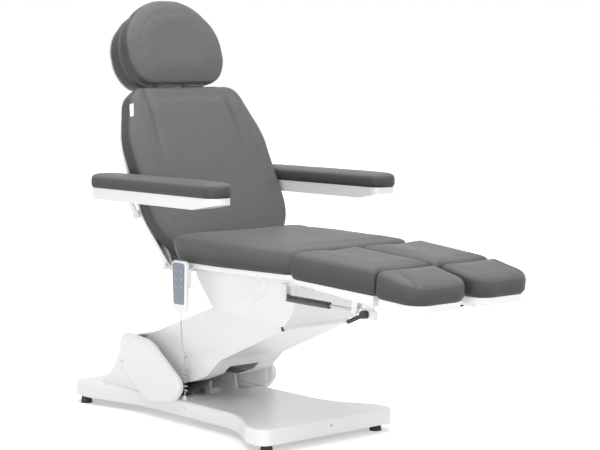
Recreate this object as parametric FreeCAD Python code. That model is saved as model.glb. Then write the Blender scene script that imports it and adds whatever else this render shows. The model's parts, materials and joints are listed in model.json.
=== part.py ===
import FreeCAD, Part
import math
import os

os.makedirs("parts", exist_ok=True)

# A podiatry treatment chair, in millimetres. +Z is up, -Y points from the head to the feet,
# +X is the sitter's left. The origin is on the floor, in the middle of the chair's length and width.
# Places along Y are drawn from a zero line in front of that middle; save() moves every piece to the origin.

# Whole chair
REAR_Y = 901.0             # rear end of the base plate
MIDDLE_Y = 38.9            # middle of the chair's length, foot pads to rear end
SEAM = 0.3                 # gap between two soft or curved neighbours
OVERRUN = 20.0             # how far a cutting body runs past the face that it cuts
RUN_FIT = 0.05             # radial clearance of a turning shaft
PIVOT_FIT = 0.6            # radial clearance of the one open pivot of a linkage

# Base plate
BASE_LENGTH = 1100.0
BASE_WIDTH = 560.0
BASE_BOTTOM_Z = 25.0
BASE_TOP_Z = 75.0
BASE_WALL = 4.0
WAIST_STEP = 3.0           # how much the waist stands in from the tower's cheeks
BASE_EDGE = 9.0            # rounding of the deck's rim
RAIL_WIDTH = 40.0
RAIL_HEIGHT = 34.0
RAIL_GAP = 190.0           # clear width between the two long rails
CROSS_LENGTH = 476.0
FOOT_RADIUS = 20.0
FOOT_TOP_RADIUS = 17.0
FOOT_X = 228.0
FRONT_FOOT_Y = -157.0
REAR_FOOT_Y = 838.0
STUD_RADIUS = 5.0

# Tower over the rear pivot
TOWER_WIDTH = 380.0
# widths nested inside the tower, as shares of its width
PLATE_GAP_SHARE = 0.789474
ARM_WIDTH_SHARE = 0.710526
ARM_PLATE_GAP_SHARE = 0.505263
MOUTH_WIDTH_SHARE = 0.494737
CARRIER_WIDTH_SHARE = 0.442105
HOUSING_WIDTH_SHARE = 0.789474
BACK_MOTOR_SHARE = 0.321053
TOWER_WALL = 4.0
TOWER_LENGTH = 448.0
TOWER_HEIGHT = 188.0
TOWER_FRONT_Y = 352.0
PLATE_WIDTH = 8.0
PLATE_GAP = TOWER_WIDTH * PLATE_GAP_SHARE          # clear width between the two pivot plates
PLATE_RADIUS = 34.0
COVER_LENGTH = 378.0
COVER_HEIGHT = 232.0
COVER_FRONT_Y = 299.0
COVER_LOW_Z = 46.0
COVER_DEPTH = 22.0
COVER_BEVEL = 9.0
SCREW_RADIUS = 5.0
SCREW_HEAD = 2.2
CONTROL_BOX_SHARES = (0.4, 0.16, 0.42)   # width, length and height as shares of the tower's

# Lift arm
ARM_PIVOT_Y = 540.0
ARM_PIVOT_Z = 200.0
ARM_SPAN = 618.5
ARM_ANGLE = 20.3
ARM_WIDTH = TOWER_WIDTH * ARM_WIDTH_SHARE
ARM_DEPTH = 206.0
ARM_WALL = 4.0
ARM_PLATE_GAP = TOWER_WIDTH * ARM_PLATE_GAP_SHARE      # clear width between the arm's two steel plates
ARM_PLATE_WIDTH = 6.0
ARM_PLATE_DEPTH = 56.0
SHAFT_RADIUS = 12.0
SHAFT_HOLE = 15.0
HUB_RADIUS = 22.0
HUB_LENGTH = 30.0
ARM_MOUTH_WIDTH = TOWER_WIDTH * MOUTH_WIDTH_SHARE
ARM_SLOT_WIDTH = 130.0
ARM_CROSS_SPAN = 345.0     # distance of the lift rod's lug from the rear pivot, along the arm
CAP_SIZE = 13.0
LINK_OFFSET_Y = -31.0
LINK_OFFSET_Z = -45.4
LINK_X = 46.0
LINK_WIDTH = 12.0
LINK_DEPTH = 16.0
LINK_EYE = 14.0
LINK_PIN = 7.0

# Motors: a tube with a rod that slides in it
LIFT_FOOT_Y = 570.0
LIFT_FOOT_Z = 50.0
LIFT_HEAD_Y = 220.0
LIFT_HEAD_Z = 250.0
LIFT_TUBE = 22.0
LIFT_ROD = 11.0
TILT_FOOT_Y = 20.0
TILT_FOOT_Z = 440.0
TILT_HEAD_Y = -162.0
TILT_HEAD_Z = 502.0
TILT_TUBE = 13.0
TILT_ROD = 6.5
BACK_FOOT_Y = 60.0
BACK_FOOT_Z = 497.0
BACK_MOTOR_X = TOWER_WIDTH * BACK_MOTOR_SHARE
BACK_TUBE = 15.0
BACK_ROD = 7.5
MOTOR_PIN = 6.0
MOTOR_EYE = 11.0
MOTOR_EYE_WIDTH = 18.0
MOTOR_LUG_GAP = 30.0
MOTOR_LUG_WIDTH = 6.0
ROD_GAP = 1.0              # radial clearance of a rod in its tube

# Carrier between the arm and the seat
CARRIER_WIDTH = TOWER_WIDTH * CARRIER_WIDTH_SHARE
CARRIER_WALL = 8.0
CARRIER_PLATE_Z = 471.0
CARRIER_PLATE_FRONT = 14.0
TILT_PIVOT_Y = 240.0
TILT_PIVOT_Z = 500.0
TILT_PIN = 9.0
TILT_LUG_RADIUS = 15.0

# Seat
SEAT_WIDTH = 578.0
SEAT_REAR_Y = 300.0
SEAT_FRONT_Y = -304.0
SEAT_PAD_Z = 557.0
SEAT_PAD_HEIGHT = 78.0
SEAT_CROWN = 9.0
SEAT_REAR_LEAN = 38.0      # how much further forward the rear face is at its foot
TRAY_DEPTH = 15.5
TRAY_WALL = 4.0
TRAY_INSET = 9.0
FRAME_Z = 516.0
FRAME_RAIL_X = 184.0
FRAME_RAIL_WIDTH = 25.0
CROSS_WIDTH = 26.0
CROSS_HEIGHT = 16.0
HOUSING_WIDTH = TOWER_WIDTH * HOUSING_WIDTH_SHARE
HOUSING_WALL = 4.5
HOUSING_LENGTH = 550.0
HOUSING_REAR_Y = 312.0
HOUSING_HEIGHT = 169.0
STEP_DEPTH = 7.0
STEP_CENTRE_Y = 80.0
STEP_CENTRE_Z = 598.0
STEP_RADIUS_LARGE = 190.0
STEP_RADIUS_SMALL = 160.0

# Backrest, measured along it from the recline axis
RECLINE_Y = 345.0
RECLINE_Z = 525.0
BACK_ANGLE = 62.4
BACK_LENGTH = 620.0
BACK_WIDTH = 574.0
BACK_REAR = 13.0           # rear of the pad in front of the recline axis
BACK_PAD_DEPTH = 68.0
BACK_CROWN = 6.0
SHELL_DEPTH = 61.0
SHELL_WALL = 4.0
RECLINE_PIN = 8.0
RECLINE_PLATE_X = 212.0
RECLINE_PLATE_WIDTH = 7.0
BACK_RAIL_X = 60.0
BACK_TUBE_RADIUS = 11.0
BACK_TUBE_W = -4.0
BACK_LEVER = 65.0
LEVER_ROOM = 15.5          # clearance beside the lever in the back shell's slot
BACK_LEVER_ANGLE = -107.9

# Headrest, measured along the backrest
HEAD_ROD_RADIUS = 7.0
HEAD_ROD_LENGTH = 250.0
HEAD_HINGE = 676.0
HEAD_ANGLE = 8.6
HEAD_BLOCK = 11.0
HEAD_PIN = 5.0
HEAD_WIDTH = 400.0
HEAD_LENGTH = 284.0
HEAD_LOW = -34.0
HEAD_REAR = -20.0
HEAD_SHELL_DEPTH = 9.0
HEAD_PAD_DEPTH = 61.0
HEAD_CROWN = 2.0
PILLOW_WIDTH_SHARE = 1.005
PILLOW_WIDTH = HEAD_WIDTH * PILLOW_WIDTH_SHARE
PILLOW_LENGTH = 301.0
PILLOW_LOW = -38.0
PILLOW_DEPTH = 54.0
PILLOW_CROWN = 14.0

# Armrests
ARMREST_INNER_X = 291.0
ARMREST_WIDTH = 100.0
ARMREST_REAR_Y = 570.0
ARMREST_LENGTH = 672.0
ARMREST_PAD_Z = 780.0
ARMREST_PAD_HEIGHT = 43.0
ARMREST_CROWN = 4.0
ARMREST_SHELL_DEPTH = 38.0
ARMREST_INSET = 5.0
ARMREST_PIVOT_S = 190.0    # along the backrest
ARMREST_PIVOT_W = -3.0
ARMREST_HUB = 15.0
ARMREST_SPIGOT = 8.0
ARMREST_WALL = 3.5
BRACKET_X = 287.0
BRACKET_WIDTH = 6.0
FLIP_Y = 487.0
FLIP_Z = 759.0
FLIP_PIN = 6.0
FLIP_HUB = 12.0
FLIP_LENGTH = 30.0

# Leg rests, each from its own hinge, before they slope
LEG_HINGE_Y = -300.0
LEG_HINGE_Z = 515.0
LEG_SLOPE = 3.6
LEG_GAP = 10.0
CALF_START = 14.0
CALF_LENGTH = 333.0
CALF_REAR_X = 271.0
CALF_FRONT_X = 238.0
PAD_BASE = 37.0
CALF_PAD_HEIGHT = 84.0
CALF_CROWN = 6.0
CALF_TRAY_REAR = 12.0
CALF_TRAY_FRONT = 34.0
FOOT_START = 354.0
FOOT_INNER_X = 9.0
FOOT_OUTER_X = 243.0
FOOT_LENGTH = 168.0
FOOT_BASE = 34.0
FOOT_PAD_HEIGHT = 86.0
FOOT_CROWN = 6.0
FOOT_FALL = 26.0
FOOT_TRAY_DEPTH = 23.0
HINGE_PIN = 6.0
HINGE_EYE = 12.0
HINGE_PLATE = 8.0
HINGE_INNER_X = 66.0
HINGE_OUTER_X = 170.0
LEG_ARM_WIDTH = 6.5
SPRING_X = 200.0
SPRING_WIDTH = 11.0
SPRING_PLATE = 5.0
SPRING_FOOT_Y = -220.0
SPRING_FOOT_Z = 478.0
SPRING_HEAD_V = 240.0
SPRING_HEAD_W = -24.0
SPRING_TUBE = 10.5
SPRING_ROD = 4.5
SPRING_TUBE_SHARE = 0.62
SPRING_HEAD_ROOM = 1.5
SLIDE_ROD = 6.0
SLIDE_INNER_X = 60.0
SLIDE_OUTER_X = 150.0
SLIDE_W = 23.0
SLIDE_BLOCK_V = 286.0
SLIDE_BLOCK_LENGTH = 50.0
SLIDE_TAIL_V = 198.0
KNOB_V = 292.0
KNOB_W = -26.0
KNOB_X = 212.0
KNOB_RADIUS = 12.0
KNOB_LENGTH = 16.0
CLAMP_LENGTH = 62.0
CLAMP_HEIGHT = 26.0
LEVER_V = 228.0
LEVER_W = -58.0
LEVER_RADIUS = 6.5

# Handset, its keys, hook and cord
HANDSET_X = -317.0
HANDSET_Y = 169.0
HANDSET_DEPTH = 16.5
HANDSET_WIDTH = 78.0
HANDSET_LENGTH = 162.0
HANDSET_LOW_Z = 403.0
PANEL_INSET = 6.0
PANEL_DEPTH = 2.0
PANEL_LOW = 18.0
POCKET_DEPTH = 3.0
KEY_RADIUS = 6.0
KEY_PITCH_Y = 27.0
KEY_PITCH_Z = 25.0
KEY_TOP_Z = 533.0
KEY_LENGTH = 3.6
KEY_RISE = 0.8
KEY_FIT = 0.35
HOOK_WALL = 3.0
HOOK_WIDTH = 44.0
HOOK_LOW_Z = 470.0
CORD_RADIUS = 2.3
CORD_START_GAP = 0.6       # lets the cord's end turn under the handset
CURL_RADIUS = 9.6
CURL_PITCH = 16.5
CURL_TURNS = 5
CURL_LEAD = 11.0
CURL_ROOM = 28.0           # from the arm cover's flank to the curl's axis
CURL_Y = 350.0
CURL_TOP_Z = 192.0
CURL_TOP = (-ARM_WIDTH / 2 - CURL_ROOM, CURL_Y, CURL_TOP_Z)
GLAND_RADIUS = 9.0
GLAND_HEIGHT = 12.0
GLAND_TIP = 5.0


def vec(x, y, z):
    return FreeCAD.Vector(x, y, z)


def save(shape, name):
    """Writes a piece with the middle of the chair's length as its origin."""
    way = FreeCAD.Matrix()
    way.move(vec(0, -MIDDLE_Y, 0))
    shape.transformed(way, copy=True).exportStep("parts/" + name + ".step")


def box(x0, x1, y0, y1, z0, z1):
    return Part.makeBox(x1 - x0, y1 - y0, z1 - z0, vec(x0, y0, z0))


def bar_x(x0, x1, y, z, radius):
    """A round bar along X."""
    return Part.makeCylinder(radius, x1 - x0, vec(x0, y, z), vec(1, 0, 0))


def rod(start, end, radius):
    way = end - start
    return Part.makeCylinder(radius, way.Length, start, way)


def fuse(shapes):
    whole = shapes[0].multiFuse(shapes[1:]) if len(shapes) > 1 else shapes[0]
    return whole.removeSplitter()


def area(points):
    total = 0
    for (u0, v0), (u1, v1) in zip(points, points[1:] + points[:1]):
        total += u0 * v1 - u1 * v0
    return total / 2


def inset(outline, depth):
    """The same outline with every side moved inwards by depth."""
    points = [(u, v) for u, v, r in outline]
    side = 1 if area(points) > 0 else -1
    result = []
    count = len(outline)
    for i, (u, v, radius) in enumerate(outline):
        pu, pv = outline[i - 1][:2]
        nu, nv = outline[(i + 1) % count][:2]
        a = math.hypot(u - pu, v - pv)
        b = math.hypot(nu - u, nv - v)
        ax, ay = (u - pu) / a, (v - pv) / a
        bx, by = (nu - u) / b, (nv - v) / b
        n1 = (-ay * side, ax * side)
        n2 = (-by * side, bx * side)
        scale = depth / (1 + n1[0] * n2[0] + n1[1] * n2[1])
        turn = (ax * by - ay * bx) * side
        new_radius = max(radius - depth, radius / 8) if turn > 0 else radius + depth
        result.append((u + (n1[0] + n2[0]) * scale, v + (n1[1] + n2[1]) * scale, new_radius))
    return result


def outline_wire(outline, place):
    """Straight sides joined by tangent arcs; outline holds (u, v, corner radius)."""
    count = len(outline)
    ends = []
    for i, (u, v, radius) in enumerate(outline):
        pu, pv = outline[i - 1][:2]
        nu, nv = outline[(i + 1) % count][:2]
        a = math.hypot(pu - u, pv - v)
        b = math.hypot(nu - u, nv - v)
        ax, ay = (pu - u) / a, (pv - v) / a
        bx, by = (nu - u) / b, (nv - v) / b
        half = math.acos(max(-1, min(1, ax * bx + ay * by))) / 2
        reach = min(radius / math.tan(half), a * 0.49, b * 0.49)
        real = reach * math.tan(half)
        mx, my = ax + bx, ay + by
        m = math.hypot(mx, my)
        centre = real / math.sin(half)
        cu, cv = u + mx / m * centre, v + my / m * centre
        mid = (cu - mx / m * real, cv - my / m * real)
        ends.append(((u + ax * reach, v + ay * reach), mid, (u + bx * reach, v + by * reach)))
    edges = []
    for i in range(count):
        start, mid, end = ends[i]
        edges.append(Part.Arc(place(*start), place(*mid), place(*end)).toShape())
        nxt = ends[(i + 1) % count][0]
        edges.append(Part.LineSegment(place(*end), place(*nxt)).toShape())
    return Part.Wire(edges)


def plan_at(z):
    return lambda u, v: vec(u, v, z)


def falling_plan(z, rear, slope):
    """A plan that falls towards the front by slope, from z at its rear."""
    return lambda u, v: vec(u, v, z - slope * (rear - v))


def side_at(x):
    return lambda u, v: vec(x, u, v)


def prism_plan(outline, z0, z1):
    return Part.Face(outline_wire(outline, plan_at(z0))).extrude(vec(0, 0, z1 - z0))


def prism_side(outline, x0, x1):
    return Part.Face(outline_wire(outline, side_at(x0))).extrude(vec(x1 - x0, 0, 0))


def loft(wires):
    return Part.makeLoft(wires, True, True)


def mirror_x(shape):
    return shape.mirror(vec(0, 0, 0), vec(1, 0, 0))


def both_sides(shape):
    return [shape, mirror_x(shape)]


def symmetric(half):
    """A closed outline from its +X half, listed from the rear to the front."""
    return half + [(-u, v, r) for u, v, r in reversed(half)]


# Shares of the pad's edge rounding: (height share of the pad, inset share of the edge)
PAD_LEVEL_SHARES = [(0.0, 0.45), (0.12, 0.08), (0.3, 0.0), (0.62, 0.0), (0.8, 0.14), (0.93, 0.55), (1.0,
        1.25)]
PAD_EDGE_SHARE = 0.22      # rounding of a pad's rim as a share of its height
CROWN_INSET_SHARES = [(0.55, 0.16), (0.9, 0.42), (1.0, 0.68)]   # (crown share, share of the half width)


def pad(outline, z0, height, crown, lean=0.0, fall=0.0):
    """A crowned cushion: drawn in at its foot and rim, full between.

    lean moves the foot's rear edge forward, fall lowers the face towards the front.
    """
    edge = height * PAD_EDGE_SHARE
    half = min(max(u for u, v, r in outline) - min(u for u, v, r in outline),
               max(v for u, v, r in outline) - min(v for u, v, r in outline)) / 2
    rear = max(v for u, v, r in outline)
    front = min(v for u, v, r in outline)
    levels = [(z0 + height * share, edge * pull, lean * (1 - share)) for share, pull in PAD_LEVEL_SHARES]
    levels += [(z0 + height + crown * share, edge + half * pull, 0.0) for share,
            pull in CROWN_INSET_SHARES]
    wires = []
    for z, pull, shift in levels:
        moved = [(u, v - shift * (v - front) / (rear - front), r) for u, v, r in outline]
        drop = fall * (z - z0) / height / (rear - front)
        wires.append(outline_wire(inset(moved, pull), falling_plan(z, rear, drop)))
    return loft(wires)


# Outline of the base plate: (share of half width, share of length from the rear, corner radius share)
BASE_REAR_SHARES = [(0.875, 0.0, 0.15), (0.885, 0.09, 0.6)]
BASE_FRONT_SHARES = [(0.985, 0.925, 0.7), (1.0, 1.0, 0.16)]
# The waist between the tower's cheeks: (share of length from the rear, corner radius share)
BASE_WAIST_SHARES = [(0.3, 2.5), (0.79, 1.0)]


def base_waist():
    return TOWER_WIDTH / 2 - WAIST_STEP


def base_outline():
    half = BASE_WIDTH / 2
    points = [(half * a, REAR_Y - BASE_LENGTH * b, half * c) for a, b, c in BASE_REAR_SHARES]
    points += [(base_waist(), REAR_Y - BASE_LENGTH * b, half * c) for b, c in BASE_WAIST_SHARES]
    points += [(half * a, REAR_Y - BASE_LENGTH * b, half * c) for a, b, c in BASE_FRONT_SHARES]
    return symmetric(points)


def make_base_cover():
    outline = base_outline()
    rim = BASE_TOP_Z - BASE_EDGE
    levels = [(BASE_BOTTOM_Z, 0.0), (rim, 0.0), (rim + BASE_EDGE * 0.55, BASE_EDGE * 0.2),
              (rim + BASE_EDGE * 0.88, BASE_EDGE * 0.55), (BASE_TOP_Z, BASE_EDGE * 1.2)]
    wires = [outline_wire(inset(outline, pull) if pull else outline, plan_at(z)) for z, pull in levels]
    body = loft(wires)
    hollow = prism_plan(inset(outline, BASE_WALL), BASE_BOTTOM_Z - OVERRUN, rim - BASE_WALL / 2)
    cover = body.cut(hollow)
    inner = TOWER_WIDTH / 2 - TOWER_WALL * 4
    mouth = box(-inner, inner, TOWER_FRONT_Y + TOWER_WALL * 3, TOWER_FRONT_Y + TOWER_LENGTH * 0.84,
                BASE_BOTTOM_Z, BASE_TOP_Z + OVERRUN)
    cover = cover.cut(mouth)
    x, y = gland_place()
    gland = Part.makeCone(GLAND_RADIUS, GLAND_TIP, GLAND_HEIGHT, vec(x, y, BASE_TOP_Z))
    bed = Part.makeCylinder(GLAND_RADIUS, BASE_EDGE + BASE_WALL / 2, vec(x, y,
            BASE_TOP_Z - BASE_EDGE - BASE_WALL / 2))
    return fuse([cover, bed, gland])


def gland_place():
    return CURL_TOP[0], CURL_TOP[1]


def pivot_plate_outline(radius, foot):
    top = ARM_PIVOT_Z
    return [(ARM_PIVOT_Y + radius, top + radius, radius * 0.95), (ARM_PIVOT_Y - radius, top + radius,
            radius * 0.95),
            (ARM_PIVOT_Y - radius * 2, foot, radius * 0.2), (ARM_PIVOT_Y + radius * 2.2, foot,
                    radius * 0.2)]


def make_base_frame():
    rail_low = BASE_BOTTOM_Z + BASE_WALL
    rail_top = rail_low + RAIL_HEIGHT
    inner = RAIL_GAP / 2
    outer = inner + RAIL_WIDTH
    front_y = FRONT_FOOT_Y + RAIL_WIDTH / 2
    rear_y = REAR_FOOT_Y - RAIL_WIDTH / 2
    parts = [box(-CROSS_LENGTH / 2, CROSS_LENGTH / 2, y - RAIL_WIDTH / 2, y + RAIL_WIDTH / 2, rail_low,
            rail_top)
             for y in (FRONT_FOOT_Y, REAR_FOOT_Y)]
    for side in (-1, 1):
        x0, x1 = sorted((side * inner, side * outer))
        parts.append(box(x0, x1, front_y, rear_y, rail_low, rail_top))
        shelf_end = PLATE_GAP / 2 + PLATE_WIDTH
        a, b = sorted((side * outer, side * shelf_end))
        parts.append(box(a, b, ARM_PIVOT_Y - PLATE_RADIUS * 2, ARM_PIVOT_Y + PLATE_RADIUS * 2.2,
                rail_low, rail_top))
        a, b = sorted((side * PLATE_GAP / 2, side * shelf_end))
        parts.append(prism_side(pivot_plate_outline(PLATE_RADIUS, rail_top - BASE_WALL), a, b))
    shaft_end = PLATE_GAP / 2 + PLATE_WIDTH + SCREW_HEAD * 2
    parts.append(bar_x(-shaft_end, shaft_end, ARM_PIVOT_Y, ARM_PIVOT_Z, SHAFT_RADIUS))
    parts.append(box(-inner, inner, LIFT_FOOT_Y - RAIL_WIDTH / 2, shelf_rear(), rail_low, shelf_top()))
    parts += motor_lugs(0.0, LIFT_FOOT_Y, LIFT_FOOT_Z, rail_low, LIFT_TUBE * 2 + MOTOR_LUG_WIDTH)
    link_y, link_z = link_foot()
    lug0 = LINK_X + LINK_WIDTH / 2 + ROD_GAP
    lug1 = lug0 + PLATE_WIDTH
    parts.append(box(lug0, lug1, link_y - LINK_EYE, link_y + LINK_EYE, rail_low, link_z))
    parts.append(bar_x(lug0, lug1, link_y, link_z, LINK_EYE))
    parts.append(bar_x(LINK_X - LINK_WIDTH / 2 - ROD_GAP, lug1, link_y, link_z, LINK_PIN))
    parts.append(box(lug0, inner, link_y - LINK_EYE, link_y + LINK_EYE, rail_low, rail_top))
    return fuse(parts)


def shelf_top():
    return LIFT_FOOT_Z - MOTOR_EYE - ROD_GAP * 2


def shelf_rear():
    return LIFT_FOOT_Y + RAIL_WIDTH + TOWER_LENGTH * CONTROL_BOX_SHARES[1] + RAIL_WIDTH / 4


def motor_lugs(x, y, z, anchor_z, gap=None):
    """Two ears and a pin for a motor's eye at (y, z), standing on or hanging from anchor_z."""
    inner = (gap or MOTOR_LUG_GAP) / 2
    parts = []
    for side in (-1, 1):
        a, b = sorted((x + side * inner, x + side * (inner + MOTOR_LUG_WIDTH)))
        low, high = sorted((anchor_z, z))
        parts.append(box(a, b, y - MOTOR_EYE, y + MOTOR_EYE, low, high))
        parts.append(bar_x(a, b, y, z, MOTOR_EYE))
    end = inner + MOTOR_LUG_WIDTH
    parts.append(bar_x(x - end, x + end, y, z, MOTOR_PIN))
    return parts


def make_feet():
    feet = []
    for x in (-FOOT_X, FOOT_X):
        for y in (FRONT_FOOT_Y, REAR_FOOT_Y):
            rubber = Part.makeCone(FOOT_RADIUS, FOOT_TOP_RADIUS, BASE_BOTTOM_Z - BASE_WALL / 2, vec(x,
                    y, 0))
            stud = Part.makeCylinder(STUD_RADIUS, BASE_WALL * 1.5, vec(x, y,
                    BASE_BOTTOM_Z - BASE_WALL / 2))
            feet.append(rubber.fuse(stud).removeSplitter())
    return Part.makeCompound(feet)


# Tower side view: (share of length from the front, share of height, corner radius share)
TOWER_SIDE_SHARES = [
    (0.0, 0.0, 0.02), (1.0, 0.0, 0.01), (0.82, 0.34, 0.5), (0.715, 0.82, 0.3), (0.64, 1.0, 0.12),
    (0.24, 0.8, 0.3), (0.0, 0.42, 0.3),
]


def tower_outline():
    return [(TOWER_FRONT_Y + TOWER_LENGTH * a, BASE_TOP_Z + TOWER_HEIGHT * b, TOWER_HEIGHT * c)
            for a, b, c in TOWER_SIDE_SHARES]


def make_tower():
    half = TOWER_WIDTH / 2
    body = prism_side(tower_outline(), -half, half)
    inner = half - TOWER_WALL
    hollow = prism_side(inset(tower_outline(), TOWER_WALL), -inner, inner)
    body = body.cut(hollow)
    # the floor and the front are open, and a slot in the top lets the arm swing up
    floor = box(-inner, inner, TOWER_FRONT_Y + TOWER_WALL * 2, TOWER_FRONT_Y + TOWER_LENGTH * 0.85,
                BASE_TOP_Z - OVERRUN, BASE_TOP_Z + TOWER_WALL * 2)
    front = box(-inner, inner, TOWER_FRONT_Y - OVERRUN, TOWER_FRONT_Y + TOWER_LENGTH * 0.3,
                BASE_TOP_Z + TOWER_WALL * 2, BASE_TOP_Z + TOWER_HEIGHT + OVERRUN)
    top = box(-inner, inner, TOWER_FRONT_Y, TOWER_FRONT_Y + TOWER_LENGTH * 0.6,
              BASE_TOP_Z + TOWER_HEIGHT * 0.5, BASE_TOP_Z + TOWER_HEIGHT + OVERRUN)
    sill = box(-inner, inner, TOWER_FRONT_Y - OVERRUN, TOWER_FRONT_Y + TOWER_WALL * 2.5,
               BASE_TOP_Z - OVERRUN, BASE_TOP_Z + TOWER_HEIGHT + OVERRUN)
    return body.cut(floor).cut(front).cut(top).cut(sill)


# Side cover, side view: (share of length from the front, share of height, corner radius share of height)
COVER_SIDE_SHARES = [
    (0.0, 0.362, 0.194), (0.153, 0.095, 0.26), (0.524, 0.0, 0.39), (0.926, 0.405, 0.26),
    (1.0, 1.0, 0.26), (0.497, 0.914, 0.52),
]


def cover_outline():
    return [(COVER_FRONT_Y + COVER_LENGTH * a, COVER_LOW_Z + COVER_HEIGHT * b, COVER_HEIGHT * c)
            for a, b, c in COVER_SIDE_SHARES]


def make_side_covers():
    """Bevelled caps outside the tower's cheeks; they stand off the base plate's waist."""
    inner = TOWER_WIDTH / 2 + SEAM
    outline = cover_outline()
    levels = [(inner, COVER_BEVEL * 0.4), (inner + COVER_BEVEL * 0.3, 0.0),
              (inner + COVER_DEPTH - COVER_BEVEL, 0.0), (inner + COVER_DEPTH - COVER_BEVEL * 0.45,
                      COVER_BEVEL * 0.35),
              (inner + COVER_DEPTH, COVER_BEVEL * 1.3)]
    wires = [outline_wire(inset(outline, pull) if pull else outline, side_at(x)) for x, pull in levels]
    cap = loft(wires)
    waist = loft([outline_wire(inset(base_outline(), -SEAM), plan_at(z)) for z in (0.0,
            BASE_TOP_Z + SEAM)])
    cap = cap.cut(waist)
    return Part.makeCompound(both_sides(cap))


COVER_SCREW_SHARES = (0.93, 0.5)     # place on the side cover, share of its length and height
BASE_SCREW_SHARES = (0.53, 0.58)     # place on the base wall, share of its length and height


def screw(point, way):
    head = Part.makeCylinder(SCREW_RADIUS, SCREW_HEAD, point, way)
    slot = Part.makeCylinder(SCREW_RADIUS * 0.45, SCREW_HEAD, point + way * (SCREW_HEAD * 0.5), way)
    return head.cut(slot)


def make_screws():
    x = TOWER_WIDTH / 2 + SEAM + COVER_DEPTH
    y = COVER_FRONT_Y + COVER_LENGTH * COVER_SCREW_SHARES[0] - COVER_BEVEL
    z = COVER_LOW_Z + COVER_HEIGHT * COVER_SCREW_SHARES[1] + COVER_BEVEL
    heads = [screw(vec(side * x, y, z), vec(side, 0, 0)) for side in (-1, 1)]
    wall_z = BASE_BOTTOM_Z + (BASE_TOP_Z - BASE_BOTTOM_Z) * BASE_SCREW_SHARES[1]
    wall_y = REAR_Y - BASE_LENGTH * BASE_SCREW_SHARES[0]
    wall_x = base_waist()
    heads += [screw(vec(side * wall_x, wall_y, wall_z), vec(side, 0, 0)) for side in (-1, 1)]
    heads.append(screw(vec(0, REAR_Y - BASE_LENGTH, wall_z), vec(0, -1, 0)))
    heads.append(screw(vec(0, REAR_Y, wall_z), vec(0, 1, 0)))
    return Part.makeCompound(heads)


def make_control_box():
    """The control unit stands on the cross shelf behind the lift motor."""
    width = TOWER_WIDTH * CONTROL_BOX_SHARES[0]
    y0 = LIFT_FOOT_Y + RAIL_WIDTH
    z0 = shelf_top()
    length = TOWER_LENGTH * CONTROL_BOX_SHARES[1]
    unit = box(-width / 2, width / 2, y0, y0 + length, z0, z0 + TOWER_HEIGHT * CONTROL_BOX_SHARES[2])
    unit = unit.makeFillet(TOWER_WALL, unit.Edges)
    return unit


def arm_point(u, w):
    """A point of the arm's side view: u along the arm from the rear pivot, w square to it."""
    a = math.radians(ARM_ANGLE)
    return (ARM_PIVOT_Y - u * math.cos(a) + w * math.sin(a),
            ARM_PIVOT_Z + u * math.sin(a) + w * math.cos(a))


def link_foot():
    return ARM_PIVOT_Y + LINK_OFFSET_Y, ARM_PIVOT_Z + LINK_OFFSET_Z


def front_pivot():
    return arm_point(ARM_SPAN, 0)


# Arm cover side view: (share of span, share of depth from the pivots' line, corner radius share of depth)
ARM_SIDE_SHARES = [
    (-0.137, 0.364, 0.29), (1.14, 0.364, 0.3), (1.174, -0.05, 0.19), (1.109, -0.398, 0.03),
    (0.534, -0.481, 0.3), (0.396, -0.636, 0.22), (0.243, -0.636, 0.3), (-0.137, -0.26, 0.22),
]


def arm_outline():
    result = []
    for a, b, c in ARM_SIDE_SHARES:
        y, z = arm_point(ARM_SPAN * a, ARM_DEPTH * b)
        result.append((y, z, ARM_DEPTH * c))
    return result


def slanted_box(x0, x1, u0, u1, w0, w1):
    corners = [arm_point(u0, w0), arm_point(u1, w0), arm_point(u1, w1), arm_point(u0, w1)]
    points = [vec(x0, y, z) for y, z in corners]
    return Part.Face(Part.makePolygon(points + points[:1])).extrude(vec(x1 - x0, 0, 0))


ARM_MOUTH_SHARES = (0.83, 1.3, -0.24, 0.8)     # span and depth shares of the front mouth
ARM_SLOT_SHARES = (-0.3, 0.46, -0.9, -0.2)     # span and depth shares of the slot in the belly


def make_arm_cover():
    half = ARM_WIDTH / 2
    outer = prism_side(arm_outline(), -half, half)
    inner = half - ARM_WALL
    hollow = prism_side(inset(arm_outline(), ARM_WALL), -inner, inner)
    cover = outer.cut(hollow)
    mouth = ARM_MOUTH_WIDTH / 2
    a, b, c, d = ARM_MOUTH_SHARES
    cover = cover.cut(slanted_box(-mouth, mouth, ARM_SPAN * a, ARM_SPAN * b, ARM_DEPTH * c,
            ARM_DEPTH * d))
    slot = ARM_SLOT_WIDTH / 2
    a, b, c, d = ARM_SLOT_SHARES
    cover = cover.cut(slanted_box(-slot, slot, ARM_SPAN * a, ARM_SPAN * b, ARM_DEPTH * c, ARM_DEPTH * d))
    cover = cover.cut(bar_x(-half - OVERRUN, half + OVERRUN, ARM_PIVOT_Y, ARM_PIVOT_Z, SHAFT_HOLE))
    for cap in cap_blocks():
        cover = cover.cut(cap)
    return cover


def cap_blocks():
    """The rubber corners at the front end of the arm's belly."""
    half = ARM_WIDTH / 2
    u1 = ARM_SPAN * ARM_SIDE_SHARES[3][0]
    w0 = ARM_DEPTH * ARM_SIDE_SHARES[3][1]
    block = slanted_box(half - CAP_SIZE * 0.6, half, u1 - CAP_SIZE, u1, w0 - CAP_SIZE * 0.5,
            w0 + CAP_SIZE)
    return both_sides(block)


def make_arm_caps():
    solid = prism_side(arm_outline(), -ARM_WIDTH / 2, ARM_WIDTH / 2)
    return Part.makeCompound([solid.common(block) for block in cap_blocks()])


SPACER_SHARES = (0.22, 0.8)      # places of the spacers along the arm's span


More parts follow.
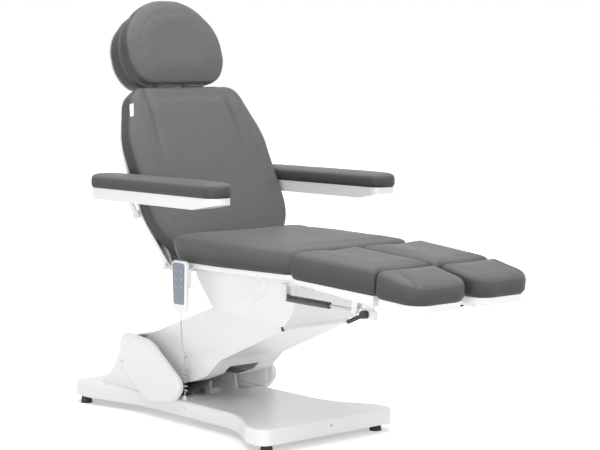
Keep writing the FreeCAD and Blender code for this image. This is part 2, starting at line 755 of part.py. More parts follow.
def make_arm_frame():
    inner = ARM_PLATE_GAP / 2
    outer = inner + ARM_PLATE_WIDTH
    half = ARM_PLATE_DEPTH / 2
    front_y, front_z = front_pivot()
    parts = []
    for side in (-1, 1):
        a, b = sorted((side * inner, side * outer))
        plate = slanted_box(a, b, 0.0, ARM_SPAN, -half, half)
        plate = plate.fuse(bar_x(a, b, ARM_PIVOT_Y, ARM_PIVOT_Z, half))
        plate = plate.fuse(bar_x(a, b, front_y, front_z, half))
        c, d = sorted((side * (inner - HUB_LENGTH), side * inner))
        parts += [plate, bar_x(c, d, ARM_PIVOT_Y, ARM_PIVOT_Z, HUB_RADIUS)]
    parts.append(bar_x(-inner, inner, front_y, front_z, SHAFT_RADIUS))
    # round spacers between the plates and the cover's flanks
    for share in SPACER_SHARES:
        y, z = arm_point(ARM_SPAN * share, 0)
        for side in (-1, 1):
            a, b = sorted((side * inner, side * (ARM_WIDTH / 2 - ARM_WALL)))
            parts.append(bar_x(a, b, y, z, SHAFT_RADIUS))
    cross_y, cross_z = arm_point(ARM_CROSS_SPAN, 0)
    parts.append(bar_x(-inner, inner, cross_y, cross_z, SHAFT_RADIUS * 1.2))
    gap = LIFT_TUBE
    for side in (-1, 1):
        a, b = sorted((side * gap, side * (gap + MOTOR_LUG_WIDTH)))
        ear = [(cross_y + MOTOR_EYE * 1.3, cross_z, MOTOR_EYE * 0.5), (cross_y - MOTOR_EYE * 1.3,
                cross_z, MOTOR_EYE * 0.5),
               (LIFT_HEAD_Y - MOTOR_EYE * 1.4, LIFT_HEAD_Z - MOTOR_EYE * 1.4, MOTOR_EYE),
               (LIFT_HEAD_Y + MOTOR_EYE * 1.4, LIFT_HEAD_Z - MOTOR_EYE * 1.4, MOTOR_EYE)]
        parts.append(prism_side(ear, a, b))
    frame = fuse(parts)
    bore = bar_x(-outer - OVERRUN, outer + OVERRUN, ARM_PIVOT_Y, ARM_PIVOT_Z, SHAFT_RADIUS + RUN_FIT)
    return frame.cut(bore)


def make_level_link():
    """The bar that keeps the carrier level; its front eye is the open pivot."""
    foot_y, foot_z = link_foot()
    head_y, head_z = front_pivot()
    head_y, head_z = head_y + LINK_OFFSET_Y, head_z + LINK_OFFSET_Z
    x0, x1 = LINK_X - LINK_WIDTH / 2, LINK_X + LINK_WIDTH / 2
    a = math.radians(ARM_ANGLE)
    half = LINK_DEPTH / 2
    dy, dz = half * math.sin(a), half * math.cos(a)
    corners = [(foot_y - dy, foot_z - dz), (head_y - dy, head_z - dz), (head_y + dy, head_z + dz),
            (foot_y + dy, foot_z + dz)]
    points = [vec(x0, y, z) for y, z in corners]
    bar = Part.Face(Part.makePolygon(points + points[:1])).extrude(vec(x1 - x0, 0, 0))
    link = fuse([bar, bar_x(x0, x1, foot_y, foot_z, LINK_EYE), bar_x(x0, x1, head_y, head_z, LINK_EYE)])
    link = link.cut(bar_x(x0 - OVERRUN, x1 + OVERRUN, foot_y, foot_z, LINK_PIN + RUN_FIT))
    return link.cut(bar_x(x0 - OVERRUN, x1 + OVERRUN, head_y, head_z, LINK_PIN + PIVOT_FIT))


TUBE_SHARE = 0.6           # length of a motor's tube as a share of its pivots' distance
ROD_TAIL_SHARE = 0.42      # where the rod ends inside the tube


def motor(x, foot, head, tube, rod_radius):
    """A motor tube with a rear eye, and its rod with a front eye that carries a short pin."""
    start = vec(x, foot[0], foot[1])
    end = vec(x, head[0], head[1])
    way = end - start
    half = MOTOR_EYE_WIDTH / 2
    body = rod(start + way * 0.06, start + way * TUBE_SHARE, tube)
    body = fuse([body, bar_x(x - half, x + half, foot[0], foot[1], MOTOR_EYE),
                 rod(start, start + way * 0.08, min(tube, MOTOR_EYE))])
    bore_start = start + way * (ROD_TAIL_SHARE - 0.22)
    body = body.cut(rod(bore_start, end, rod_radius + ROD_GAP))
    body = body.cut(bar_x(x - half - OVERRUN, x + half + OVERRUN, foot[0], foot[1], MOTOR_PIN + RUN_FIT))
    stem = rod(start + way * ROD_TAIL_SHARE, end, rod_radius)
    eye = bar_x(x - half, x + half, head[0], head[1], MOTOR_EYE)
    reach = MOTOR_LUG_GAP / 2 - ROD_GAP
    pin = bar_x(x - reach, x + reach, head[0], head[1], MOTOR_PIN)
    return body, fuse([stem, eye, pin])


def make_lift_motor():
    return motor(0.0, (LIFT_FOOT_Y, LIFT_FOOT_Z), (LIFT_HEAD_Y, LIFT_HEAD_Z), LIFT_TUBE, LIFT_ROD)


def make_tilt_motor():
    return motor(0.0, (TILT_FOOT_Y, TILT_FOOT_Z), (TILT_HEAD_Y, TILT_HEAD_Z), TILT_TUBE, TILT_ROD)


def back_lever():
    a = math.radians(BACK_LEVER_ANGLE)
    return RECLINE_Y + BACK_LEVER * math.cos(a), RECLINE_Z + BACK_LEVER * math.sin(a)


def make_back_motor():
    return motor(BACK_MOTOR_X, (BACK_FOOT_Y, BACK_FOOT_Z), back_lever(), BACK_TUBE, BACK_ROD)


def make_carrier():
    """Two ears on the arm's front shaft, a plate over the arm and the tilt shaft behind."""
    outer = CARRIER_WIDTH / 2
    inner = outer - CARRIER_WALL
    py, pz = front_pivot()
    plate_top = CARRIER_PLATE_Z + CARRIER_WALL
    r = HUB_RADIUS
    ear = [(py - r, pz - r, r * 0.9), (py + r, pz - r, r * 0.9), (CARRIER_PLATE_FRONT + r * 3,
            plate_top - r, r * 0.6),
           (TILT_PIVOT_Y + TILT_LUG_RADIUS, CARRIER_PLATE_Z, TILT_LUG_RADIUS * 0.3),
           (TILT_PIVOT_Y + TILT_LUG_RADIUS, TILT_PIVOT_Z + TILT_LUG_RADIUS, TILT_LUG_RADIUS * 0.8),
           (TILT_PIVOT_Y - TILT_LUG_RADIUS, TILT_PIVOT_Z + TILT_LUG_RADIUS, TILT_LUG_RADIUS * 0.8),
           (TILT_PIVOT_Y - TILT_LUG_RADIUS * 2, plate_top, TILT_LUG_RADIUS * 0.5),
           (CARRIER_PLATE_FRONT, plate_top, r * 0.5)]
    parts = []
    for side in (-1, 1):
        a, b = sorted((side * inner, side * outer))
        parts.append(prism_side(ear, a, b))
    parts.append(box(-inner, inner, CARRIER_PLATE_FRONT + r * 2.4, TILT_PIVOT_Y - TILT_LUG_RADIUS * 2,
            CARRIER_PLATE_Z, plate_top))
    end = outer + CARRIER_WALL * 2.4
    parts.append(bar_x(-end, end, TILT_PIVOT_Y, TILT_PIVOT_Z, TILT_PIN))
    parts.append(bar_x(-inner, inner, TILT_FOOT_Y, TILT_FOOT_Z, MOTOR_PIN))
    # the ear that holds the level link's front pin
    ly, lz = py + LINK_OFFSET_Y, pz + LINK_OFFSET_Z
    lug0 = LINK_X + LINK_WIDTH / 2 + ROD_GAP
    lug_outline = [(ly - LINK_EYE, lz - LINK_EYE, LINK_EYE * 0.9), (ly + LINK_EYE, lz - LINK_EYE,
            LINK_EYE * 0.9),
                   (py + r, pz, r * 0.5), (py + r, pz + r, r * 0.5), (py - r, pz + r, r * 0.5)]
    parts.append(prism_side(lug_outline, lug0, inner))
    parts.append(bar_x(LINK_X - LINK_WIDTH / 2 - ROD_GAP, lug0, ly, lz, LINK_PIN))
    carrier = fuse(parts)
    return carrier.cut(bar_x(-outer - OVERRUN, outer + OVERRUN, py, pz, SHAFT_RADIUS + RUN_FIT))


# Seat plan: (share of half width, share of length from the rear, corner radius share of half width)
SEAT_HALF_SHARES = [(0.98, 0.0, 0.24), (1.0, 0.45, 0.9), (0.86, 1.0, 0.16)]


def seat_outline(pull=0.0):
    half = SEAT_WIDTH / 2
    length = SEAT_REAR_Y - SEAT_FRONT_Y
    points = [(half * a, SEAT_REAR_Y - length * b, half * c) for a, b, c in SEAT_HALF_SHARES]
    outline = symmetric(points)
    return inset(outline, pull) if pull else outline


def make_seat_cushion():
    return pad(seat_outline(), SEAT_PAD_Z, SEAT_PAD_HEIGHT, SEAT_CROWN, SEAT_REAR_LEAN)


def tray_outline(pull):
    outline = seat_outline(TRAY_INSET + pull)
    rear = max(v for u, v, r in outline)
    return [(u, v - SEAT_REAR_LEAN if v > rear - TRAY_INSET else v, r) for u, v, r in outline]


def make_seat_tray():
    low = SEAT_PAD_Z - TRAY_DEPTH
    high = SEAT_PAD_Z - SEAM
    body = loft([outline_wire(tray_outline(pull), plan_at(z)) for z, pull in
                 ((low, TRAY_WALL * 0.8), (low + TRAY_DEPTH * 0.35, 0.0), (high, 0.0))])
    hollow = prism_plan(tray_outline(TRAY_WALL), low - OVERRUN, high - TRAY_WALL)
    return body.cut(hollow)


# Side view of the pivot housing: (share of length from the rear, share of height from the top, radius share)
HOUSING_SIDE_SHARES = [
    (0.0, 0.0, 0.01), (0.03, 0.32, 0.4), (0.19, 0.9, 0.42), (0.56, 1.0, 0.9), (0.833, 0.985, 0.04),
    (0.9, 0.76, 0.35), (0.985, 0.12, 0.2), (1.0, 0.0, 0.01),
]


def housing_outline():
    top = SEAT_PAD_Z - TRAY_DEPTH
    return [(HOUSING_REAR_Y - HOUSING_LENGTH * a, top - HOUSING_HEIGHT * b, HOUSING_HEIGHT * c)
            for a, b, c in HOUSING_SIDE_SHARES]


HOUSING_OPEN_SHARE = 0.42     # from where down the belly is open, as a share of the height


def make_seat_housing():
    """Two cheeks outside the arm, joined by a front wall, with two raised steps."""
    half = HOUSING_WIDTH / 2
    top = SEAT_PAD_Z - TRAY_DEPTH
    body = prism_side(housing_outline(), -half, half)
    clip = box(-half - STEP_DEPTH * 3, half + STEP_DEPTH * 3, HOUSING_REAR_Y - HOUSING_LENGTH,
            HOUSING_REAR_Y,
               top - HOUSING_HEIGHT, top)
    steps = []
    for radius, depth in ((STEP_RADIUS_LARGE, STEP_DEPTH), (STEP_RADIUS_SMALL, STEP_DEPTH * 2)):
        disc = bar_x(-half - depth, half + depth, STEP_CENTRE_Y, STEP_CENTRE_Z, radius)
        edge = disc.common(clip)
        steps.append(edge)
    body = fuse([body] + steps)
    inner = half - HOUSING_WALL
    hollow = prism_side(inset(housing_outline(), HOUSING_WALL), -inner, inner)
    shell = body.cut(hollow)
    lid = box(-inner, inner, HOUSING_REAR_Y - HOUSING_LENGTH * 0.985 + HOUSING_WALL,
            HOUSING_REAR_Y - HOUSING_WALL,
              top - HOUSING_WALL * 2, top + OVERRUN)
    belly = box(-inner, inner, HOUSING_REAR_Y - HOUSING_LENGTH * 0.835, HOUSING_REAR_Y + OVERRUN,
                top - HOUSING_HEIGHT - OVERRUN, top - HOUSING_HEIGHT * HOUSING_OPEN_SHARE)
    shell = shell.cut(lid).cut(belly)
    # the rear is open, for the back motor
    rear = box(-inner, inner, HOUSING_REAR_Y - HOUSING_LENGTH * 0.1, HOUSING_REAR_Y + OVERRUN,
               top - HOUSING_HEIGHT, top + OVERRUN)
    return shell.cut(rear)


def lug_pair(x, width, plate, y, z, radius, anchor_z):
    """Two ears either side of x, hanging from anchor_z."""
    parts = []
    for side in (-1, 1):
        a, b = sorted((x + side * width / 2, x + side * (width / 2 + plate)))
        parts.append(box(a, b, y - radius, y + radius, min(z, anchor_z), max(z, anchor_z)))
        parts.append(bar_x(a, b, y, z, radius))
    return parts


FRAME_FRONT_Y = LEG_HINGE_Y + HINGE_EYE + ROD_GAP * 2


def shell_flank(s):
    """Half width of the back shell's rim at s along the backrest, near its foot."""
    wide, foot = SHELL_LEVEL_SHARES[0][1][2:]
    slope = (wide[0] - foot[0]) / (wide[1] - foot[1])
    return BACK_WIDTH / 2 * (foot[0] + (s / BACK_LENGTH - foot[1]) * slope)


def make_seat_frame():
    top = SEAT_PAD_Z - TRAY_DEPTH - SEAM
    low = FRAME_Z
    cross_low = top - CROSS_HEIGHT
    parts = []
    reach = RECLINE_PLATE_X - ROD_GAP
    lug_inner = reach - RECLINE_PLATE_WIDTH
    for side in (-1, 1):
        a, b = sorted((side * (FRAME_RAIL_X - FRAME_RAIL_WIDTH / 2),
                side * (FRAME_RAIL_X + FRAME_RAIL_WIDTH / 2)))
        parts.append(box(a, b, FRAME_FRONT_Y, SEAT_REAR_Y - SEAT_REAR_LEAN, low, top))
        a, b = sorted((side * lug_inner, side * reach))
        ear = [(RECLINE_Y + RECLINE_PIN * 1.8, RECLINE_Z + RECLINE_PIN * 1.8, RECLINE_PIN * 1.6),
               (RECLINE_Y + RECLINE_PIN * 1.8, RECLINE_Z - RECLINE_PIN * 1.8, RECLINE_PIN * 1.6),
               (SEAT_REAR_Y - SEAT_REAR_LEAN - CROSS_WIDTH, low, RECLINE_PIN * 0.4),
               (SEAT_REAR_Y - SEAT_REAR_LEAN - CROSS_WIDTH, top, RECLINE_PIN * 0.4)]
        parts.append(prism_side(ear, a, b))
        bolt_end = shell_flank(RECLINE_PIN * 1.3) + ROD_GAP
        a, b = sorted((side * lug_inner, side * bolt_end))
        parts.append(bar_x(a, b, RECLINE_Y, RECLINE_Z, RECLINE_PIN))
        a, b = sorted((side * bolt_end, side * (bolt_end + RECLINE_PIN * 0.6)))
        parts.append(bar_x(a, b, RECLINE_Y, RECLINE_Z, RECLINE_PIN * 1.3))
    rear_cross = SEAT_REAR_Y - SEAT_REAR_LEAN - CROSS_WIDTH
    rail_in = FRAME_RAIL_X - FRAME_RAIL_WIDTH / 2
    for y, half in ((rear_cross, lug_inner), (TILT_PIVOT_Y - CROSS_WIDTH / 2, rail_in),
                    (TILT_HEAD_Y - CROSS_WIDTH / 2, rail_in), (FRAME_FRONT_Y,
                            rail_in + FRAME_RAIL_WIDTH)):
        parts.append(box(-half, half, y, y + CROSS_WIDTH, cross_low, top))
    # tilt ears, on the carrier's shaft
    parts += lug_pair(0.0, CARRIER_WIDTH + ROD_GAP * 4, CARRIER_WALL, TILT_PIVOT_Y, TILT_PIVOT_Z,
            TILT_LUG_RADIUS, top)
    # ears beside the tilt rod's head: the open pivot
    parts += lug_pair(0.0, MOTOR_LUG_GAP, MOTOR_LUG_WIDTH, TILT_HEAD_Y, TILT_HEAD_Z, MOTOR_EYE, top)
    # foot of the back motor
    parts += motor_lugs(BACK_MOTOR_X, BACK_FOOT_Y, BACK_FOOT_Z, top, BACK_TUBE * 2 + ROD_GAP * 2)
    a = BACK_MOTOR_X - BACK_TUBE * 2
    parts.append(box(a, rail_in, BACK_FOOT_Y - CROSS_WIDTH / 2, BACK_FOOT_Y + CROSS_WIDTH / 2,
            cross_low, top))
    # leg hinges and gas spring feet
    for side in (-1, 1):
        for x in (HINGE_INNER_X, HINGE_OUTER_X):
            a, b = sorted((side * x, side * (x + HINGE_PLATE)))
            ear = [(LEG_HINGE_Y - HINGE_EYE, LEG_HINGE_Z + HINGE_EYE, HINGE_EYE * 0.9),
                   (LEG_HINGE_Y - HINGE_EYE, LEG_HINGE_Z - HINGE_EYE, HINGE_EYE * 0.9),
                   (FRAME_FRONT_Y + CROSS_WIDTH, LEG_HINGE_Z - HINGE_EYE, HINGE_EYE * 0.4),
                   (FRAME_FRONT_Y + CROSS_WIDTH, top, HINGE_EYE * 0.1),
                   (FRAME_FRONT_Y, top, HINGE_EYE * 0.1)]
            parts.append(prism_side(ear, a, b))
        for x, way in ((HINGE_INNER_X + HINGE_PLATE, 1), (HINGE_OUTER_X, -1)):
            pin_end = x + way * (HINGE_PLATE + ROD_GAP * 2)
            a, b = sorted((side * x, side * pin_end))
            parts.append(bar_x(a, b, LEG_HINGE_Y, LEG_HINGE_Z, HINGE_PIN))
        x = side * SPRING_X
        parts += lug_pair(x, SPRING_WIDTH + ROD_GAP * 2, SPRING_PLATE, SPRING_FOOT_Y, SPRING_FOOT_Z,
                MOTOR_EYE, low)
        end = SPRING_WIDTH / 2 + ROD_GAP + SPRING_PLATE
        parts.append(bar_x(x - end, x + end, SPRING_FOOT_Y, SPRING_FOOT_Z, MOTOR_PIN))
        parts.append(box(x - end, x + end, SPRING_FOOT_Y - MOTOR_EYE, SPRING_FOOT_Y + MOTOR_EYE, low,
                low + SPRING_PLATE))
    frame = fuse(parts)
    end = CARRIER_WIDTH / 2 + CARRIER_WALL * 3
    return frame.cut(bar_x(-end, end, TILT_PIVOT_Y, TILT_PIVOT_Z, TILT_PIN + RUN_FIT))


def along(shape, angle, y, z):
    """Moves a shape from a sub-assembly's own axes to the chair: turned about X, then shifted."""
    turned = shape.copy()
    turned.rotate(vec(0, 0, 0), vec(1, 0, 0), angle)
    turned.translate(vec(0, y, z))
    return turned


def back_placed(shape):
    return along(shape, BACK_ANGLE, RECLINE_Y, RECLINE_Z)


def back_point(s, w):
    a = math.radians(BACK_ANGLE)
    return RECLINE_Y + s * math.cos(a) - w * math.sin(a), RECLINE_Z + s * math.sin(a) + w * math.cos(a)


# Backrest outline: (share of half width, share of length from the top, corner radius share of half width)
BACK_HALF_SHARES = [(0.77, 0.0, 0.3), (1.0, 0.3, 1.0), (1.0, 0.79, 0.66), (0.67, 1.0, 0.32)]


def back_outline():
    half = BACK_WIDTH / 2
    points = [(half * a, BACK_LENGTH * (1 - b), half * c) for a, b, c in BACK_HALF_SHARES]
    return symmetric(points)


def make_back_cushion():
    return back_placed(pad(back_outline(), BACK_REAR, BACK_PAD_DEPTH, BACK_CROWN))


# Shell levels: depth share, then four corners as (share of half width, share of length, radius share)
SHELL_LEVEL_SHARES = [
    (0.0, [(0.74, 0.98, 0.3), (0.975, 0.7, 1.0), (0.975, 0.265, 0.7), (0.803, -0.022, 0.1)]),
    (0.22, [(0.73, 0.97, 0.3), (0.97, 0.695, 1.0), (0.97, 0.267, 0.7), (0.8, -0.02, 0.1)]),
    (0.55, [(0.53, 0.94, 0.3), (0.85, 0.66, 1.2), (0.93, 0.29, 0.8), (0.785, 0.0, 0.1)]),
    (0.87, [(0.39, 0.78, 0.25), (0.7, 0.56, 1.0), (0.87, 0.31, 0.6), (0.73, 0.1, 0.1)]),
    (1.0, [(0.28, 0.66, 0.2), (0.56, 0.5, 0.8), (0.76, 0.33, 0.4), (0.64, 0.18, 0.08)]),
]


def shell_wires(pull, shift):
    half = BACK_WIDTH / 2
    wires = []
    for depth_share, corners in SHELL_LEVEL_SHARES:
        outline = symmetric([(half * a, BACK_LENGTH * b, half * c) for a, b, c in corners])
        depth = BACK_REAR - SEAM - SHELL_DEPTH * depth_share
        wires.append(outline_wire(inset(outline, pull) if pull else outline, plan_at(depth + shift)))
    return wires


BOTTOM_OPEN_SHARE = 0.012        # how far up the shell is open at its foot


def make_back_shell():
    body = loft(shell_wires(0.0, 0.0))
    body = body.cut(loft(shell_wires(SHELL_WALL, SHELL_WALL)))
    rim = BACK_REAR - SEAM
    inner = BACK_WIDTH / 2 * SHELL_LEVEL_SHARES[0][1][3][0] - SHELL_WALL
    mouth = box(-inner, inner, -BACK_LENGTH, BACK_LENGTH * BOTTOM_OPEN_SHARE, -SHELL_DEPTH, rim + OVERRUN)
    body = body.cut(mouth)
    half = BACK_WIDTH / 2
    room = MOTOR_LUG_GAP / 2 + MOTOR_LUG_WIDTH + LEVER_ROOM
    a, b = BACK_MOTOR_X - room, BACK_MOTOR_X + room
    body = body.cut(box(a, b, -BACK_LENGTH, BACK_LENGTH * BOTTOM_OPEN_SHARE * 4, -SHELL_DEPTH,
            rim + OVERRUN))
    for s, w, radius in ((ARMREST_PIVOT_S, ARMREST_PIVOT_W, BACK_TUBE_RADIUS), (0.0, 0.0,
            RECLINE_PIN + ROD_GAP)):
        body = body.cut(bar_x(-half - OVERRUN, half + OVERRUN, s, w, radius))
    for x in (-BACK_RAIL_X, BACK_RAIL_X):
        top = vec(x, BACK_LENGTH + OVERRUN, BACK_TUBE_W)
        body = body.cut(rod(vec(x, BACK_LENGTH * RAIL_TOP_SHARE - OVERRUN, BACK_TUBE_W), top,
                BACK_TUBE_RADIUS + ROD_GAP))
    return back_placed(body)


RAIL_FOOT_SHARE = 0.132
RAIL_TOP_SHARE = 0.927
TOP_CROSS_SHARE = 0.78
RAIL_BORE_SHARE = 0.62


def make_back_frame():
    """Two side plates on the recline pins, cross tubes, and two upright tubes for the headrest's rods."""
    foot = BACK_LENGTH * RAIL_FOOT_SHARE
    top = BACK_LENGTH * RAIL_TOP_SHARE
    w = BACK_TUBE_W
    r = BACK_TUBE_RADIUS
    parts = []
    plate_end = RECLINE_PLATE_X + RECLINE_PLATE_WIDTH
    for side in (-1, 1):
        a, b = sorted((side * RECLINE_PLATE_X, side * plate_end))
        parts.append(bar_x(a, b, 0.0, 0.0, RECLINE_PIN * 1.8))
        parts.append(box(a, b, 0.0, foot + r, w - r, w + r))
        x = side * BACK_RAIL_X
        parts.append(rod(vec(x, foot, w), vec(x, top, w), r))
    parts.append(bar_x(-plate_end, plate_end, foot, w, r))
    cross = BACK_LENGTH * TOP_CROSS_SHARE
    reach = BACK_WIDTH / 2 * SHELL_LEVEL_SHARES[2][1][1][0] - SHELL_WALL * 2
    parts.append(bar_x(-reach, reach, cross, w, r))
    tube_end = BACK_WIDTH / 2 * SHELL_LEVEL_SHARES[0][1][1][0]
    parts.append(bar_x(-tube_end, tube_end, ARMREST_PIVOT_S, ARMREST_PIVOT_W, r - ROD_GAP))
    stub_end = BRACKET_X + BRACKET_WIDTH + FLIP_PIN * 0.2
    parts.append(bar_x(-stub_end, stub_end, ARMREST_PIVOT_S, ARMREST_PIVOT_W, ARMREST_SPIGOT))
    angle = math.radians(BACK_LEVER_ANGLE - BACK_ANGLE)
    ls, lw = BACK_LEVER * math.cos(angle), BACK_LEVER * math.sin(angle)
    ear = [(foot + r, w + r * 0.7, r * 0.3), (foot + r, w - r * 0.9, r * 0.3),
           (ls - MOTOR_EYE, lw - MOTOR_EYE, MOTOR_EYE * 0.9), (ls - MOTOR_EYE, lw + MOTOR_EYE,
                   MOTOR_EYE * 0.9)]
    for side in (-1, 1):
        a = BACK_MOTOR_X + side * MOTOR_LUG_GAP / 2
        b = BACK_MOTOR_X + side * (MOTOR_LUG_GAP / 2 + MOTOR_LUG_WIDTH)
        parts.append(prism_side(ear, min(a, b), max(a, b)))
    frame = fuse(parts)
    for x in (-BACK_RAIL_X, BACK_RAIL_X):
        tail = BACK_LENGTH * RAIL_BORE_SHARE
        frame = frame.cut(rod(vec(x, tail, w), vec(x, top + OVERRUN, w), HEAD_ROD_RADIUS + RUN_FIT))
    frame = frame.cut(bar_x(-plate_end - OVERRUN, plate_end + OVERRUN, 0.0, 0.0, RECLINE_PIN + RUN_FIT))
    return back_placed(frame)


def head_hinge():
    return back_point(HEAD_HINGE, BACK_TUBE_W)


def head_placed(shape):
    y, z = head_hinge()
    return along(shape, BACK_ANGLE + HEAD_ANGLE, y, z)


def make_headrest_slide():
    """Two rods with a block between them, and the hinge pin in the block's ears."""
    w = BACK_TUBE_W
    parts = []
    for x in (-BACK_RAIL_X, BACK_RAIL_X):
        parts.append(rod(vec(x, HEAD_HINGE - HEAD_ROD_LENGTH, w), vec(x, HEAD_HINGE, w), HEAD_ROD_RADIUS))
        parts.append(bar_x(x - HEAD_BLOCK, x + HEAD_BLOCK, HEAD_HINGE, w, HEAD_BLOCK))
    parts.append(bar_x(-BACK_RAIL_X - HEAD_BLOCK * 2, BACK_RAIL_X + HEAD_BLOCK * 2, HEAD_HINGE, w,
            HEAD_PIN))
    return back_placed(fuse(parts))


# Dome outlines: (share of half width, share of length from the top, corner radius share of half width)
DOME_HALF_SHARES = [(0.45, 0.0, 0.88), (1.0, 0.38, 1.0), (1.0, 0.78, 0.69), (0.76, 1.0, 0.37)]


def dome_outline(width, low, length):
    half = width / 2
    return symmetric([(half * a, low + length * (1 - b), half * c) for a, b, c in DOME_HALF_SHARES])


def make_headrest_shell():
    """A flat tray behind the headrest pad, with two pairs of ears on the hinge pin."""
    outline = dome_outline(HEAD_WIDTH, HEAD_LOW, HEAD_LENGTH)
    top = HEAD_REAR - SEAM
    low = top - HEAD_SHELL_DEPTH
    tray = loft([outline_wire(inset(outline, pull), plan_at(z)) for z, pull in
                 ((low, HEAD_SHELL_DEPTH * 1.6), (low + HEAD_SHELL_DEPTH * 0.4, HEAD_SHELL_DEPTH * 0.5),
                  (top, HEAD_SHELL_DEPTH * 0.2))])
    ears = []
    reach = BACK_RAIL_X + HEAD_BLOCK + ROD_GAP * 0.5
    for side in (-1, 1):
        a, b = sorted((side * reach, side * (reach + HEAD_BLOCK * 0.75)))
        ears.append(bar_x(a, b, 0.0, 0.0, HEAD_BLOCK))
        ears.append(box(a, b, -HEAD_BLOCK * 0.8, HEAD_BLOCK * 0.8, low + HEAD_SHELL_DEPTH * 0.5, 0.0))
    room = [box(x - HEAD_BLOCK - ROD_GAP, x + HEAD_BLOCK + ROD_GAP, -OVERRUN * 3, HEAD_BLOCK * 2,
                low - OVERRUN, top + OVERRUN) for x in (-BACK_RAIL_X, BACK_RAIL_X)]
    shell = fuse([tray] + ears)
    for hole in room:
        shell = shell.cut(hole)
    end = reach + HEAD_BLOCK
    return head_placed(shell.cut(bar_x(-end, end, 0.0, 0.0, HEAD_PIN + RUN_FIT)))


def make_headrest_cushion():
    """The rear headrest pad, hollowed where the hinge stands."""
    outline = dome_outline(HEAD_WIDTH, HEAD_LOW, HEAD_LENGTH)
    body = pad(outline, HEAD_REAR, HEAD_PAD_DEPTH, HEAD_CROWN)
    reach = BACK_RAIL_X + HEAD_BLOCK * 2.4
    room = box(-reach, reach, HEAD_LOW - OVERRUN, HEAD_BLOCK * 1.6, HEAD_REAR - OVERRUN, HEAD_BLOCK * 1.4)
    return head_placed(body.cut(room))


def make_head_pillow():
    outline = dome_outline(PILLOW_WIDTH, PILLOW_LOW, PILLOW_LENGTH)
    foot = HEAD_REAR + HEAD_PAD_DEPTH + HEAD_CROWN + SEAM
    return head_placed(pad(outline, foot, PILLOW_DEPTH, PILLOW_CROWN))


# Armrests
def armrest_outline(pull=0.0):
    x0 = ARMREST_INNER_X
    x1 = x0 + ARMREST_WIDTH
    y1 = ARMREST_REAR_Y
    y0 = y1 - ARMREST_LENGTH
    corner = ARMREST_WIDTH * 0.34
    nose = ARMREST_WIDTH * 0.47
    outline = [(x0, y0, nose), (x1, y0, nose), (x1, y1, corner), (x0, y1, corner)]
    return inset(outline, pull) if pull else outline


def make_armrest_pad():
    return pad(armrest_outline(), ARMREST_PAD_Z, ARMREST_PAD_HEIGHT, ARMREST_CROWN)


# Side view of the armrest's tray: (share of length from the rear, share of depth below the pad, radius share)
ARMREST_SIDE_SHARES = [(0.0, 0.0, 0.01), (0.012, 1.0, 0.25), (0.845, 1.0, 1.3), (1.0, 0.5, 0.2), (1.0,
        0.0, 0.01)]


def armrest_tray_body(pull, lift):
    top = ARMREST_PAD_Z - SEAM + lift
    side = [(ARMREST_REAR_Y - ARMREST_LENGTH * a, top - ARMREST_SHELL_DEPTH * b, ARMREST_SHELL_DEPTH * c)
            for a, b, c in ARMREST_SIDE_SHARES]
    plan = prism_plan(armrest_outline(ARMREST_INSET + pull), top - ARMREST_SHELL_DEPTH - OVERRUN, top)
    x1 = ARMREST_INNER_X + ARMREST_WIDTH
    return plan.common(prism_side(side, ARMREST_INNER_X - OVERRUN, x1 + OVERRUN))


def make_armrest_shell():
    body = armrest_tray_body(0.0, 0.0).cut(armrest_tray_body(ARMREST_WALL, ARMREST_WALL))
    start = ARMREST_INNER_X + ARMREST_INSET
    boss = bar_x(start, start + FLIP_LENGTH, FLIP_Y, FLIP_Z, FLIP_HUB)
    web = box(start, start + FLIP_LENGTH, FLIP_Y - FLIP_HUB * 0.6, FLIP_Y + FLIP_HUB * 0.6,
              ARMREST_PAD_Z - ARMREST_SHELL_DEPTH, FLIP_Z)
    body = fuse([body, boss, web])
    return body.cut(bar_x(start - OVERRUN, start + FLIP_LENGTH, FLIP_Y, FLIP_Z, FLIP_PIN + RUN_FIT))


def make_armrest_bracket():
    """The levelling plate between the backrest's spigot and the armrest's hinge."""
    py, pz = back_point(ARMREST_PIVOT_S, ARMREST_PIVOT_W)
    x0, x1 = BRACKET_X, BRACKET_X + BRACKET_WIDTH
    hub = ARMREST_HUB
    dy, dz = FLIP_Y - py, FLIP_Z - pz
    length = math.hypot(dy, dz)
    ny, nz = -dz / length * FLIP_HUB * 0.8, dy / length * FLIP_HUB * 0.8
    corners = [(py - ny, pz - nz), (FLIP_Y - ny, FLIP_Z - nz), (FLIP_Y + ny, FLIP_Z + nz), (py + ny,
            pz + nz)]
    points = [vec(x0, y, z) for y, z in corners]
    web = Part.Face(Part.makePolygon(points + points[:1])).extrude(vec(x1 - x0, 0, 0))
    pin_end = ARMREST_INNER_X + ARMREST_INSET + FLIP_LENGTH - ROD_GAP
    bracket = fuse([web, bar_x(x0, x1, py, pz, hub), bar_x(x0, x1, FLIP_Y, FLIP_Z, FLIP_HUB),
                    bar_x(x0, pin_end, FLIP_Y, FLIP_Z, FLIP_PIN)])
    return bracket.cut(bar_x(x0 - OVERRUN, x1 + OVERRUN, py, pz, ARMREST_SPIGOT + RUN_FIT))


# Leg rests, in their own axes: the hinge is the origin and the leg points along -Y
def leg_placed(shape):
    return along(shape, LEG_SLOPE, LEG_HINGE_Y, LEG_HINGE_Z)


def calf_outline(pull=0.0):
    inner = LEG_GAP / 2
    y1, y0 = -CALF_START, -CALF_START - CALF_LENGTH
    corner = CALF_START * 0.7
    outline = [(inner, y0, corner / 2), (CALF_FRONT_X, y0, corner), (CALF_REAR_X, y1, corner), (inner,
            y1, corner / 2)]
    return inset(outline, pull) if pull else outline


